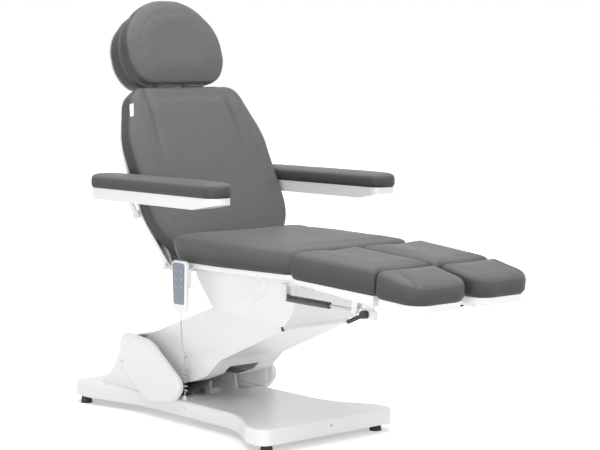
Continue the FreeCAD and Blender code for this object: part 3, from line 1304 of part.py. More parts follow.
def foot_outline(pull=0.0):
    inner = FOOT_INNER_X
    y1, y0 = -FOOT_START, -FOOT_START - FOOT_LENGTH
    nose = FOOT_LENGTH * 0.38
    tail = FOOT_LENGTH * 0.07
    outline = [(inner * 1.7, y0, nose), (FOOT_OUTER_X, y0, nose), (FOOT_OUTER_X, y1, tail), (inner, y1,
            tail)]
    return inset(outline, pull) if pull else outline


def make_calf_cushion():
    return leg_placed(pad(calf_outline(), PAD_BASE, CALF_PAD_HEIGHT, CALF_CROWN))


def make_foot_cushion():
    return leg_placed(pad(foot_outline(), FOOT_BASE, FOOT_PAD_HEIGHT, FOOT_CROWN, 0.0, FOOT_FALL))


def calf_floor(pull, raise_by):
    rear = -CALF_START
    slope = (CALF_TRAY_FRONT - CALF_TRAY_REAR) / CALF_LENGTH
    return outline_wire(calf_outline(TRAY_INSET + pull),
            falling_plan(PAD_BASE - CALF_TRAY_REAR + raise_by, rear, slope))


def leg_arm(x0, x1):
    """A plate from the hinge eye to the calf tray's floor."""
    eye = HINGE_EYE
    floor = PAD_BASE - CALF_TRAY_REAR
    arm = [(eye * 0.7, eye * 0.8, eye * 0.3), (-CALF_START * 1.25, floor + TRAY_WALL, TRAY_WALL),
           (-CALF_LENGTH * 0.45, floor * 0.68, TRAY_WALL), (-CALF_LENGTH * 0.3, -eye * 0.3, eye * 0.4),
           (eye * 0.7, -eye * 0.9, eye * 0.3)]
    return [prism_side(arm, x0, x1), bar_x(x0, x1, 0.0, 0.0, eye)]


def make_calf_tray():
    top = PAD_BASE - SEAM
    rim = outline_wire(calf_outline(TRAY_INSET), plan_at(top))
    body = loft([calf_floor(TRAY_WALL, 0.0), calf_floor(TRAY_WALL * 0.2, TRAY_WALL), rim])
    inner = loft([calf_floor(TRAY_WALL, TRAY_WALL), outline_wire(calf_outline(TRAY_INSET + TRAY_WALL),
            plan_at(top + SEAM))])
    body = body.cut(inner)
    parts = [body]
    inner_x = HINGE_INNER_X + HINGE_PLATE + ROD_GAP
    parts += leg_arm(inner_x, inner_x + LEG_ARM_WIDTH)
    parts += leg_arm(HINGE_OUTER_X - ROD_GAP - LEG_ARM_WIDTH, HINGE_OUTER_X - ROD_GAP)
    block_top = SLIDE_W + SLIDE_ROD * 1.9
    for x in (SLIDE_INNER_X, SLIDE_OUTER_X):
        parts.append(box(x - SLIDE_ROD * 2, x + SLIDE_ROD * 2, -SLIDE_BLOCK_V - SLIDE_BLOCK_LENGTH,
                -SLIDE_BLOCK_V,
                         PAD_BASE - CALF_TRAY_FRONT + TRAY_WALL, block_top))
    # ears of the gas spring's head, and the clamp block beside it
    gap = SPRING_WIDTH + SPRING_HEAD_ROOM * 2
    floor = PAD_BASE - CALF_TRAY_REAR
    parts += lug_pair(SPRING_X, gap, SPRING_PLATE, -SPRING_HEAD_V, SPRING_HEAD_W, MOTOR_EYE,
            floor - TRAY_WALL * 2)
    clamp_inner = SPRING_X - SPRING_PLATE
    y0 = -KNOB_V - CLAMP_LENGTH / 2
    parts.append(box(clamp_inner, KNOB_X - ROD_GAP, y0, y0 + CLAMP_LENGTH, KNOB_W - CLAMP_HEIGHT / 2,
            KNOB_W + CLAMP_HEIGHT / 2))
    parts.append(box(clamp_inner, clamp_inner + SPRING_PLATE * 2, y0 + CLAMP_LENGTH * 0.2,
            y0 + CLAMP_LENGTH * 0.8,
                     KNOB_W, floor * 0.5))
    parts.append(bar_x(clamp_inner, KNOB_X + KNOB_LENGTH * 0.6, -KNOB_V, KNOB_W, HINGE_PIN))
    tray = fuse(parts)
    inner_x = HINGE_INNER_X + HINGE_PLATE
    tray = tray.cut(bar_x(inner_x, HINGE_OUTER_X, 0.0, 0.0, HINGE_PIN + RUN_FIT))
    for x in (SLIDE_INNER_X, SLIDE_OUTER_X):
        start = vec(x, -CALF_START - CALF_LENGTH - OVERRUN, SLIDE_W)
        tray = tray.cut(rod(start, vec(x, -SLIDE_TAIL_V + OVERRUN, SLIDE_W), SLIDE_ROD + RUN_FIT))
    return leg_placed(tray)



def make_foot_tray():
    top = FOOT_BASE - SEAM
    low = top - FOOT_TRAY_DEPTH
    outer = [(low, TRAY_WALL), (low + FOOT_TRAY_DEPTH * 0.3, TRAY_WALL * 0.2), (top, 0.0)]
    body = loft([outline_wire(foot_outline(TRAY_INSET + pull), plan_at(z)) for z, pull in outer])
    inner = prism_plan(foot_outline(TRAY_INSET + TRAY_WALL * 1.4), low + TRAY_WALL, top + SEAM)
    parts = [body.cut(inner)]
    for x in (SLIDE_INNER_X, SLIDE_OUTER_X):
        parts.append(rod(vec(x, -FOOT_START - TRAY_INSET - TRAY_WALL, SLIDE_W), vec(x, -SLIDE_TAIL_V,
                SLIDE_W), SLIDE_ROD))
    return leg_placed(fuse(parts))


def spring_points():
    a = math.radians(LEG_SLOPE)
    y = LEG_HINGE_Y - SPRING_HEAD_V * math.cos(a) - SPRING_HEAD_W * math.sin(a)
    z = LEG_HINGE_Z - SPRING_HEAD_V * math.sin(a) + SPRING_HEAD_W * math.cos(a)
    return vec(SPRING_X, SPRING_FOOT_Y, SPRING_FOOT_Z), vec(SPRING_X, y, z)


SPRING_TAIL_SHARE = 0.42
SPRING_BORE_SHARE = 0.19
SPRING_COLLAR_SHARE = 0.045


def make_spring():
    start, end = spring_points()
    way = end - start
    half = SPRING_WIDTH / 2
    stop = start + way * SPRING_TUBE_SHARE
    body = fuse([rod(start + way * SPRING_COLLAR_SHARE, stop, SPRING_TUBE), rod(start, stop, half),
                 bar_x(SPRING_X - half, SPRING_X + half, SPRING_FOOT_Y, SPRING_FOOT_Z, MOTOR_EYE)])
    body = body.cut(rod(start + way * SPRING_BORE_SHARE, end, SPRING_ROD + ROD_GAP))
    body = body.cut(bar_x(SPRING_X - SPRING_TUBE * 2, SPRING_X + SPRING_TUBE * 2, SPRING_FOOT_Y,
            SPRING_FOOT_Z, MOTOR_PIN + RUN_FIT))
    reach = half + SPRING_HEAD_ROOM * 0.5
    stem = fuse([rod(start + way * SPRING_TAIL_SHARE, end, SPRING_ROD), bar_x(SPRING_X - half,
            SPRING_X + half, end.y, end.z, MOTOR_EYE * 0.8),
                 bar_x(SPRING_X - reach, SPRING_X + reach, end.y, end.z, MOTOR_PIN * 0.7)])
    return body, stem


def make_clamp_knob():
    """A grip on the clamp's pin, with a short lever."""
    start, end = KNOB_X, KNOB_X + KNOB_LENGTH
    knob = bar_x(start, end, -KNOB_V, KNOB_W, KNOB_RADIUS)
    mid = start + KNOB_LENGTH / 2
    lever = rod(vec(mid, -KNOB_V, KNOB_W), vec(mid, -LEVER_V, LEVER_W), LEVER_RADIUS)
    tip = Part.makeSphere(LEVER_RADIUS, vec(mid, -LEVER_V, LEVER_W))
    knob = fuse([knob, lever, tip])
    return leg_placed(knob.cut(bar_x(start - OVERRUN, start + KNOB_LENGTH * 0.7, -KNOB_V, KNOB_W,
            HINGE_PIN + RUN_FIT)))


# Handset
def handset_outline(pull=0.0, low=0.0):
    y0, y1 = HANDSET_Y - HANDSET_WIDTH / 2, HANDSET_Y + HANDSET_WIDTH / 2
    z0, z1 = HANDSET_LOW_Z + low, HANDSET_LOW_Z + HANDSET_LENGTH
    corner = HANDSET_WIDTH * 0.2
    taper = HANDSET_WIDTH * 0.07
    outline = [(y0 + taper, z0, corner), (y1 - taper, z0, corner), (y1, z1, corner), (y0, z1, corner)]
    return inset(outline, pull) if pull else outline


def key_places():
    return [(HANDSET_Y + (column - 0.5) * KEY_PITCH_Y, KEY_TOP_Z - row * KEY_PITCH_Z)
            for row in range(3) for column in range(2)]


def make_handset_case():
    face = HANDSET_X
    rear = face + HANDSET_DEPTH
    edge = HANDSET_DEPTH * 0.2
    levels = [(face, edge * 1.1), (face + edge * 0.4, edge * 0.4), (face + edge * 1.2, 0.0),
              (rear - edge * 1.2, 0.0), (rear - edge * 0.4, edge * 0.4), (rear, edge * 1.1)]
    case = loft([outline_wire(inset(handset_outline(), pull) if pull else handset_outline(),
            side_at(x)) for x, pull in levels])
    case = case.cut(prism_side(handset_outline(PANEL_INSET, PANEL_LOW), face - OVERRUN,
            face + PANEL_DEPTH))
    for y, z in key_places():
        case = case.cut(bar_x(face, face + PANEL_DEPTH + POCKET_DEPTH, y, z, KEY_RADIUS + KEY_FIT))
    return case


def make_handset_panel():
    panel = prism_side(handset_outline(PANEL_INSET + SEAM * 0.5, PANEL_LOW), HANDSET_X,
            HANDSET_X + PANEL_DEPTH)
    for y, z in key_places():
        panel = panel.cut(bar_x(HANDSET_X - OVERRUN, HANDSET_X + OVERRUN, y, z, KEY_RADIUS + KEY_FIT))
    return panel


def make_key(y, z):
    start = HANDSET_X - KEY_RISE
    key = bar_x(start, start + KEY_LENGTH, y, z, KEY_RADIUS)
    return key.makeChamfer(KEY_RISE * 0.4, [key.Edges[0]])


def make_handset_hook():
    """A bent strip from the seat frame that carries a plate behind the handset, with a lip at its side."""
    rear = HANDSET_X + HANDSET_DEPTH
    x0, x1 = rear, rear + HOOK_WALL
    y0, y1 = HANDSET_Y - HOOK_WIDTH / 2, HANDSET_Y + HOOK_WIDTH / 2
    top = SEAT_PAD_Z - TRAY_DEPTH - SEAM * 2
    plate = box(x0, x1, y0, y1, HOOK_LOW_Z, top)
    strip = box(x0, -FRAME_RAIL_X - FRAME_RAIL_WIDTH / 2, y0 + HOOK_WALL * 3, y1 - HOOK_WALL * 3,
            top - HOOK_WALL, top)
    side = HANDSET_Y - HANDSET_WIDTH / 2 - HOOK_WALL - SEAM * 2
    bridge = box(x0, x1, side, y0, HOOK_LOW_Z + HOOK_WALL * 4, top)
    lip = box(HANDSET_X + HANDSET_DEPTH / 2, x1, side, side + HOOK_WALL, HOOK_LOW_Z + HOOK_WALL * 4, top)
    return fuse([plate, strip, bridge, lip])


# Cord: the free stretch hangs from the handset, the curl stands on the gland
CORD_ROUTE_SHARES = [
    (0.0, 0.0, 1.0), (0.0, 0.0, 0.84), (0.02, 0.02, 0.64), (0.09, 0.05, 0.44), (0.3, 0.19, 0.27),
    (0.54, 0.41, 0.2), (0.79, 0.7, 0.185), (0.965, 0.93, 0.15),
]                                # shares of the way across, along and up from the curl's top to the handset


def cord_start():
    return vec(HANDSET_X + HANDSET_DEPTH / 2, HANDSET_Y, HANDSET_LOW_Z - CORD_START_GAP)


def tube(points, radius, name):
    """A round tube on straight runs joined by tangent arcs; prints its least bend radius."""
    edges = []
    start = points[0]
    least = None
    for before, here, after in zip(points, points[1:], points[2:]):
        a = before - here
        b = after - here
        half = a.getAngle(b) / 2
        reach = min(a.Length, b.Length) * 0.45
        bend = reach * math.tan(half)
        least = bend if least is None else min(least, bend)
        a.normalize()
        b.normalize()
        first, last = here + a * reach, here + b * reach
        bisector = a + b
        bisector.normalize()
        middle = here + bisector * (bend / math.sin(half) - bend)
        edges.append(Part.LineSegment(start, first).toShape())
        edges.append(Part.Arc(first, middle, last).toShape())
        start = last
    edges.append(Part.LineSegment(start, points[-1]).toShape())
    path = Part.Wire(edges)
    way = points[1] - points[0]
    profile = Part.Wire([Part.makeCircle(radius, points[0], way)])
    solid = path.makePipeShell([profile], True, False)
    ratio = solid.Volume / (math.pi * radius * radius * path.Length)
    print(name, "length", round(path.Length, 1), "least bend radius", round(least, 1), "volume ratio",
            round(ratio, 4),
          "valid", solid.isValid())
    return solid


def make_cord():
    start = cord_start()
    end = vec(*CURL_TOP)
    span = start - end
    points = [vec(start.x - span.x * a, start.y - span.y * b, end.z + span.z * c) for a, b,
            c in CORD_ROUTE_SHARES]
    points += [end + vec(0, 0, CURL_LEAD * 2), end]
    return tube(points, CORD_RADIUS, "handset_cord")


def curl_points():
    """One run straight down, the turns, and one run straight into the gland."""
    x, y, top = CURL_TOP
    steps = 8
    foot = BASE_TOP_Z + GLAND_HEIGHT
    first = top - CURL_LEAD - CURL_PITCH * 0.3
    last = foot + CURL_LEAD + CURL_PITCH * 0.3
    count = steps * CURL_TURNS
    points = [vec(x, y, top), vec(x, y, top - CURL_LEAD)]
    for i in range(count + 1):
        a = math.pi * 2 * i / steps
        z = first + (last - first) * i / count
        points.append(vec(x + CURL_RADIUS * math.cos(a), y + CURL_RADIUS * math.sin(a), z))
    points += [vec(x, y, foot + CURL_LEAD), vec(x, y, foot)]
    return points


def make_curl():
    points = curl_points()
    gap = None
    for i, p in enumerate(points):
        for q in points[i + 6:]:
            d = (p - q).Length - CORD_RADIUS * 2
            gap = d if gap is None else min(gap, d)
    print("cord_curl least gap between turns, on points", round(gap, 2))
    return tube(points, CORD_RADIUS, "cord_curl")


def save_pair(shape, name):
    """Saves the +X piece as left and its mirror image as right."""
    save(shape, name + "_left")
    save(mirror_x(shape), name + "_right")


save(make_base_frame(), "base_frame")
save(make_base_cover(), "base_cover")
save(make_feet(), "rubber_feet")
save(make_tower(), "tower_housing")
save(make_side_covers(), "side_covers")
save(make_screws(), "cover_screws")
save(make_control_box(), "control_box")
save(make_arm_frame(), "arm_frame")
save(make_arm_cover(), "arm_cover")
save(make_arm_caps(), "arm_end_caps")
save(make_level_link(), "level_link")
for stem_name, maker in (("lift", make_lift_motor), ("tilt", make_tilt_motor), ("back", make_back_motor)):
    tube_shape, rod_shape = maker()
    save(tube_shape, stem_name + "_motor")
    save(rod_shape, stem_name + "_rod")
save(make_carrier(), "seat_carrier")
seat_frame = make_seat_frame()
save(seat_frame, "seat_frame")
save(make_seat_tray(), "seat_tray")
save(make_seat_cushion(), "seat_cushion")
save(make_seat_housing().cut(seat_frame), "seat_housing")
back_frame = make_back_frame()
save(back_frame, "back_frame")
save(make_back_shell().cut(back_frame), "back_shell")
save(make_back_cushion(), "back_cushion")
save(make_headrest_slide(), "headrest_slide")
save(make_headrest_shell(), "headrest_shell")
save(make_headrest_cushion(), "headrest_cushion")
save(make_head_pillow(), "head_pillow")
save_pair(make_armrest_bracket(), "armrest_bracket")
save_pair(make_armrest_shell(), "armrest_shell")
save_pair(make_armrest_pad(), "armrest_pad")
save_pair(make_calf_tray(), "calf_tray")
save_pair(make_calf_cushion(), "calf_cushion")
save_pair(make_foot_tray(), "foot_tray")
save_pair(make_foot_cushion(), "foot_cushion")
spring_body, spring_stem = make_spring()
save_pair(spring_body, "spring_cylinder")
save_pair(spring_stem, "spring_rod")
save_pair(make_clamp_knob(), "clamp_knob")
save(make_handset_hook(), "handset_hook")
save(make_handset_case(), "handset_case")
save(make_handset_panel(), "handset_panel")
for number, (key_y, key_z) in enumerate(key_places(), 1):
    save(make_key(key_y, key_z), "key_" + str(number))
save(make_cord(), "handset_cord")
save(make_curl(), "cord_curl")
print("recline axis", RECLINE_Y, RECLINE_Z, "arm front pivot", [round(c, 3) for c in front_pivot()],
      "link foot", [round(c, 3) for c in link_foot()], "lever", [round(c, 3) for c in back_lever()])
print("head hinge", [round(c, 3) for c in head_hinge()],
      "armrest pivot", [round(c, 3) for c in back_point(ARMREST_PIVOT_S, ARMREST_PIVOT_W)],
      "spring", spring_points())
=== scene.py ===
import json
import math

import bmesh
import bpy
import numpy as np
from mathutils import Matrix, Vector, noise
from mathutils.bvhtree import BVHTree


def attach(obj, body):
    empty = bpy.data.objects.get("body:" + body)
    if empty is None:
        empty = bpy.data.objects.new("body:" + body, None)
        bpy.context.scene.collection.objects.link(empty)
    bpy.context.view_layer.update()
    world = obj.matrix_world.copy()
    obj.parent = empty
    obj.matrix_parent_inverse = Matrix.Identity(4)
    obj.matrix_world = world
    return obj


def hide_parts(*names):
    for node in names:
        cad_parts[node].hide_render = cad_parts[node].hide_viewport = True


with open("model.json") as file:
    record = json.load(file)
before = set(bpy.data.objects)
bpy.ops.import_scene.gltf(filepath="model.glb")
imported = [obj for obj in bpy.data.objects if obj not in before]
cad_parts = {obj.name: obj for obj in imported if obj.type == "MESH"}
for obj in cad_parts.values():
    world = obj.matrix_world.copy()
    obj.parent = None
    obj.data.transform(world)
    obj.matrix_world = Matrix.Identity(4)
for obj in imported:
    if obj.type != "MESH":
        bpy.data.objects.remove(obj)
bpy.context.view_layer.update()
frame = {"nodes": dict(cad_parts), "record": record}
NODES = frame["nodes"]


# Camera
LENS_PIXELS = 1731.2948
YAW = math.radians(-40.397)
PITCH = math.radians(5.591)
ROLL = math.radians(-0.0926)
CAMERA_DISTANCE = 5.7707
CAMERA_AIM = Vector((0.1866, 0.1308, 0.6464))
PHOTO_WIDTH = 600
SENSOR_WIDTH = 36
SIGHT_END = 60


def place_camera():
    """Stands the camera where the photo's edges put it; back points from the chair to the camera."""
    level = math.cos(PITCH)
    back = Vector((math.sin(YAW) * level, -math.cos(YAW) * level, math.sin(PITCH)))
    right = Vector((math.cos(YAW), math.sin(YAW), 0))
    up = back.cross(right)
    across = right * math.cos(ROLL) + up * math.sin(ROLL)
    upward = up * math.cos(ROLL) - right * math.sin(ROLL)
    data = bpy.data.cameras.new("photo_camera")
    data.sensor_width = SENSOR_WIDTH
    data.lens = SENSOR_WIDTH * LENS_PIXELS / PHOTO_WIDTH
    data.clip_end = SIGHT_END
    camera = bpy.data.objects.new("photo_camera", data)
    bpy.context.scene.collection.objects.link(camera)
    turn = Matrix((across, upward, back)).transposed().to_4x4()
    camera.matrix_world = Matrix.Translation(CAMERA_AIM + back * CAMERA_DISTANCE) @ turn
    bpy.context.scene.camera = camera


place_camera()


# Finishes
COLOUR_ONE, COLOUR_TWO, COLOUR_OUT = 6, 7, 2      # a Mix node's colour sockets


class Signal:
    """A shader value; its arithmetic adds Math nodes."""

    def __init__(self, finish, socket):
        self.finish = finish
        self.socket = socket

    def math(self, operation, *others):
        return self.finish.node("ShaderNodeMath", {"operation": operation}, *others)

    def __add__(self, other):
        return self.math("ADD", self, other)

    def __radd__(self, other):
        return self.math("ADD", other, self)

    def __sub__(self, other):
        return self.math("SUBTRACT", self, other)

    def __rsub__(self, other):
        return self.math("SUBTRACT", other, self)

    def __mul__(self, other):
        return self.math("MULTIPLY", self, other)

    def clamped(self):
        return self.finish.node("ShaderNodeClamp", {}, self)

    def ease(self, low, high, start=0.0, end=1.0):
        """Goes smoothly from start to end as the value goes from low to high."""
        return self.finish.node("ShaderNodeMapRange", {"interpolation_type": "SMOOTHSTEP"},
                                self, low, high, start, end)


class Finish:
    """One material; node() adds any node, sets it up and joins its sockets."""

    def __init__(self, name):
        self.material = bpy.data.materials.new(name)
        self.material.use_nodes = True
        self.tree = self.material.node_tree
        self.tree.nodes.clear()
        self.surface = self.tree.nodes.new("ShaderNodeBsdfPrincipled")
        output = self.tree.nodes.new("ShaderNodeOutputMaterial")
        self.tree.links.new(self.surface.outputs[0], output.inputs[0])

    def node(self, kind, settings, *values, out=0, **named):
        made = self.tree.nodes.new(kind)
        for key, value in settings.items():
            setattr(made, key, value)
        for index, value in enumerate(values):
            self.join(made.inputs[index], value)
        for key, value in named.items():
            self.join(made.inputs[key.replace("_", " ")], value)
        return Signal(self, made.outputs[out])

    def join(self, socket, value):
        if isinstance(value, Signal):
            self.tree.links.new(value.socket, socket)
        elif value is not None:
            socket.default_value = value

    def set(self, **named):
        """Sets the surface's own sockets."""
        for key, value in named.items():
            self.join(self.surface.inputs[key.replace("_", " ")], value)

    def place(self):
        return self.node("ShaderNodeTexCoord", {}, out="Object")

    def attribute(self, name):
        return self.node("ShaderNodeAttribute", {"attribute_name": name}, out="Fac")

    def speckle(self, scale, detail=2.0, rough=0.5, at=None):
        return self.node("ShaderNodeTexNoise", {}, Vector=at or self.place(), Scale=scale, Detail=detail,
                         Roughness=rough)

    def cells(self, scale, feature="F1"):
        return self.node("ShaderNodeTexVoronoi", {"feature": feature}, Vector=self.place(), Scale=scale)

    def blend(self, mask, one, two):
        """Goes from colour one to colour two as mask goes from 0 to 1."""
        made = self.tree.nodes.new("ShaderNodeMix")
        made.data_type = "RGBA"
        for socket, value in (("Factor", mask), (COLOUR_ONE, one), (COLOUR_TWO, two)):
            self.join(made.inputs[socket], value)
        return Signal(self, made.outputs[COLOUR_OUT])

    def relief(self, height, depth, under=None, strength=1.0):
        """A bump of a height from 0 to 1 and a depth in metres."""
        return self.node("ShaderNodeBump", {}, Strength=strength, Distance=depth, Height=height, Normal=under)


def grey(value, warm=0.0):
    return (value * (1 + warm), value, value * (1 - warm), 1.0)


def shaded(colour, share, lift=0.0):
    """A paint of a colour's three values made darker or lighter, at most 1."""
    return tuple(min(c * share + lift, 1) for c in colour) + (1,)


def leatherette_finish(name, tone):
    """Mid-grey artificial leather: fine pebbled grain, soft sheen, painted shade at its creases, low down and
    on its side walls.

    The cover's attribute crease is its distance to a crease, level its height above the tray from 0 to 1,
    lowered on side walls; both are turned into painted shade.
    """
    f = Finish(name)
    crease = f.attribute("crease")
    # painted shade at the creases: a broad darkening near them and a dark line along them
    near = crease.ease(0.0, 0.016, 0.8, 0.0)
    line = crease.ease(0.0004, 0.0016, 0.55, 0.0)
    patch = f.speckle(7.0, 3.0, 0.55)
    cloud = f.speckle(42.0, 3.0, 0.5)
    pebble = f.cells(620.0, "DISTANCE_TO_EDGE")
    fold = f.speckle(260.0, 4.0, 0.65)
    grain = pebble.ease(0.0, 0.22) * 0.6 + fold * 0.4
    shade = (patch - 0.5) * 0.16 + (cloud - 0.5) * 0.12 + grain * 0.12 + (0.44 - near * 0.10)
    colour = f.blend(shade.clamped(), grey(tone * 0.72, 0.006), grey(tone * 1.26, 0.006))
    # painted shade: darker towards the tray and on the side walls, from the level attribute
    low = f.attribute("level").ease(0.0, 0.85, LEATHER_PAINTED_SHADE, 0.0)
    low_painted_shade = f.blend(low, colour, grey(tone * 0.3))
    # painted shade along each crease's line, over the painted shade low down
    painted_shade_colour = f.blend(line * 0.5, low_painted_shade, grey(tone * 0.4))
    sheen = f.speckle(18.0, 3.0, 0.6)
    rough = 0.44 + sheen * 0.14 - grain * 0.07 + line * 0.2
    f.set(Base_Color=painted_shade_colour, Roughness=rough.clamped(), IOR=1.45, Specular_IOR_Level=0.24, Sheen_Weight=0.03,
          Sheen_Roughness=0.45)
    fine = f.relief(grain, 0.00016, strength=0.6)
    soft = f.relief(cloud, 0.0008, fine, 0.35)
    pulled = f.relief(1 - line, 0.0008, soft, 0.7)
    f.set(Normal=pulled)
    return f.material


def gloss_shell_finish(name, colour, gloss=0.24):
    """White moulded shell: lacquer-like gloss, slow mottle, faint orange peel."""
    f = Finish(name)
    mottle = f.speckle(3.5, 4.0, 0.6)
    dust = f.speckle(160.0, 2.0, 0.5)
    peel = f.speckle(240.0, 1.0, 0.4)
    tone = (mottle * 0.6 + dust * 0.25).clamped()
    shade = f.blend(tone, (colour[0] * 0.955, colour[1] * 0.958, colour[2] * 0.962, 1), (*colour, 1))
    f.set(Base_Color=shade, Roughness=(gloss + mottle * 0.1 + dust * 0.04).clamped(), IOR=1.5,
          Coat_Weight=(0.25 + mottle * 0.1).clamped(), Coat_Roughness=0.12)
    f.set(Normal=f.relief(peel, 0.0002, strength=0.35))
    return f.material


def powder_finish(name, colour, gloss=0.38):
    """Powder coat: fine even texture."""
    f = Finish(name)
    crumb = f.cells(900.0)
    cloud = f.speckle(9.0, 3.0, 0.5)
    shade = f.blend((cloud * 0.7 + crumb * 0.2).clamped(), shaded(colour, 0.93), (*colour, 1))
    f.set(Base_Color=shade, Roughness=(gloss + crumb * 0.12 + cloud * 0.06).clamped(), IOR=1.48)
    f.set(Normal=f.relief(crumb, 0.00008, strength=0.5))
    return f.material


def rubber_finish(name, colour):
    """Black rubber, chalky where it is touched."""
    f = Finish(name)
    chalk = f.speckle(55.0, 5.0, 0.65)
    pore = f.cells(700.0)
    shade = f.blend(chalk.ease(0.35, 0.75), (*colour, 1), shaded(colour, 1.9, 0.01))
    f.set(Base_Color=shade, Roughness=(0.62 + chalk * 0.22).clamped(), IOR=1.5)
    f.set(Normal=f.relief(pore, 0.00012, strength=0.6))
    return f.material


def moulded_finish(name, colour, gloss=0.42, scale=520.0):
    """Moulded plastic with a spark-eroded surface."""
    f = Finish(name)
    erosion = f.speckle(scale, 3.0, 0.7)
    cloud = f.speckle(14.0, 3.0, 0.5)
    shade = f.blend((cloud * 0.6 + erosion * 0.4).clamped(), shaded(colour, 0.82), shaded(colour, 1.14))
    f.set(Base_Color=shade, Roughness=(gloss + erosion * 0.12 + cloud * 0.08).clamped(), IOR=1.49)
    f.set(Normal=f.relief(erosion, 0.00012, strength=0.5))
    return f.material


def lacquer_finish(name, colour):
    """Black lacquered tube with fine rub marks."""
    f = Finish(name)
    rub = f.speckle(30.0, 6.0, 0.7)
    cloud = f.speckle(6.0, 2.0, 0.5)
    shade = f.blend(rub.ease(0.55, 0.8), (*colour, 1), shaded(colour, 2.2, 0.01))
    f.set(Base_Color=shade, Roughness=(0.2 + rub * 0.18 + cloud * 0.06).clamped(), IOR=1.5,
          Coat_Weight=(0.4 + cloud * 0.1).clamped(), Coat_Roughness=0.15)
    f.set(Normal=f.relief(rub, 0.00006, strength=0.4))
    return f.material


def steel_finish(name, colour, stretch):
    """Ground steel; the grinding marks are stretched along one axis."""
    f = Finish(name)
    lines = f.node("ShaderNodeMapping", {}, Vector=f.place(), Scale=stretch)
    marks = f.speckle(260.0, 3.0, 0.6, lines)
    smear = f.speckle(24.0, 4.0, 0.55)
    shade = f.blend(marks * 0.7 + smear * 0.3, shaded(colour, 0.72), shaded(colour, 1.15))
    f.set(Base_Color=shade, Metallic=1.0, Roughness=(0.2 + marks * 0.16 + smear * 0.1).clamped())
    f.set(Normal=f.relief(marks, 0.00005, strength=0.5))
    return f.material


LEATHER_TONE = 0.13
LEATHER_PAINTED_SHADE = 0.8             # how much painted shade darkens the cover towards its tray and on its side walls
FINISHES = {
    "leatherette": leatherette_finish("leatherette", LEATHER_TONE),
    "white_shell": gloss_shell_finish("white_shell", (0.9, 0.903, 0.906)),
    "white_paint": powder_finish("white_paint", (0.86, 0.864, 0.868)),
    "rubber": rubber_finish("rubber", (0.022, 0.022, 0.023)),
    "black_plastic": moulded_finish("black_plastic", (0.03, 0.03, 0.032)),
    "black_steel": lacquer_finish("black_steel", (0.016, 0.016, 0.017)),
    "steel": steel_finish("steel", (0.62, 0.61, 0.6), (1.0, 0.06, 0.06)),
    "panel": moulded_finish("panel_foil", (0.24, 0.28, 0.33), 0.34, 380.0),
    "keys": moulded_finish("key_foil", (0.33, 0.37, 0.42), 0.36, 300.0),
    "cord": moulded_finish("cord_skin", (0.55, 0.56, 0.57), 0.45, 900.0),
}


# Cord
MM = 0.001
CORD_RADIUS = 2.3 * MM
CORD_EXIT = (-0.30875, 0.1301, 0.4024)
CURL_TOP = (-0.163, 0.3111, 0.192)
CURL_FOOT = 0.087
CURL_RADIUS = 9.6 * MM
CURL_TURNS = 5
CURL_STEPS = 8
CURL_LEAD = 11.0 * MM
CURL_PITCH = 16.5 * MM
CURL_ENTRY = 0.3              # share of a pitch between the lead and the first turn
# shares of the way across, along and up from the handset to the curl, in which the cord falls and sags
CORD_ROUTE = [(0.0, 0.0, 1.0), (0.0, 0.0, 0.84), (0.02, 0.02, 0.64), (0.09, 0.05, 0.44), (0.3, 0.19, 0.27),
              (0.54, 0.41, 0.2), (0.79, 0.7, 0.185), (0.965, 0.93, 0.15)]


def cord_points():
    """From the handset down to the curl, round the curl and into the gland."""
    span = [a - b for a, b in zip(CORD_EXIT, CURL_TOP)]
    points = [(CORD_EXIT[0] - span[0] * a, CORD_EXIT[1] - span[1] * b, CURL_TOP[2] + span[2] * c)
              for a, b, c in CORD_ROUTE]
    x, y, top = CURL_TOP
    points += [(x, y, top + CURL_LEAD * 2), (x, y, top), (x, y, top - CURL_LEAD)]
    first = top - CURL_LEAD - CURL_PITCH * CURL_ENTRY
    last = CURL_FOOT + CURL_LEAD + CURL_PITCH * CURL_ENTRY
    count = CURL_STEPS * CURL_TURNS
    for i in range(count + 1):
        a = math.tau * i / CURL_STEPS
        z = first + (last - first) * i / count
        points.append((x + CURL_RADIUS * math.cos(a), y + CURL_RADIUS * math.sin(a), z))
    return points + [(x, y, CURL_FOOT + CURL_LEAD), (x, y, CURL_FOOT)]


def make_cord():
    """The handset's lead and its curl as one line, measured before it gets its thickness."""
    data = bpy.data.curves.new("handset_lead", "CURVE")
    data.dimensions = "3D"
    line = data.splines.new("NURBS")
    points = cord_points()
    line.points.add(len(points) - 1)
    for point, place in zip(line.points, points):
        point.co = (*place, 1.0)
    line.order_u = 3
    line.use_endpoint_u = True
    line.resolution_u = 6
    lead = bpy.data.objects.new("handset_lead", data)
    bpy.context.scene.collection.objects.link(lead)
    bare = bpy.data.meshes.new_from_object(lead.evaluated_get(bpy.context.evaluated_depsgraph_get()))
    places = [v.co.copy() for v in bare.vertices]
    bpy.data.meshes.remove(bare)
    length = sum((b - a).length for a, b in zip(places, places[1:]))
    data.bevel_depth = CORD_RADIUS
    data.bevel_resolution = 3
    data.use_fill_caps = True
    data.materials.append(FINISHES["cord"])
    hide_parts("handset_cord", "cord_curl")
    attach(lead, "cord")
    print("cord length", round(length, 4))


make_cord()


# Cushions
class Axes:
    """A sub-assembly's own axes: turned about X, with the origin on its joint."""

    def __init__(self, y, z, degrees):
        a = math.radians(degrees)
        self.turn = np.array([[1, 0, 0], [0, math.cos(a), -math.sin(a)], [0, math.sin(a), math.cos(a)]])
        self.origin = np.array([0, y, z])

    def local(self, places):
        return (places - self.origin) @ self.turn

    def world(self, places):
        return places @ self.turn.T + self.origin


CHAIR_AXES = Axes(-0.0389, 0.0, 0.0)
BACK_AXES = Axes(0.3061, 0.525, 62.4)
HEAD_AXES = Axes(0.622833, 1.12222, 71.0)
LEG_AXES = Axes(-0.3389, 0.515, 3.6)


def places_of(mesh):
    flat = np.empty(len(mesh.vertices) * 3)
    mesh.vertices.foreach_get("co", flat)
    return flat.reshape(-1, 3)


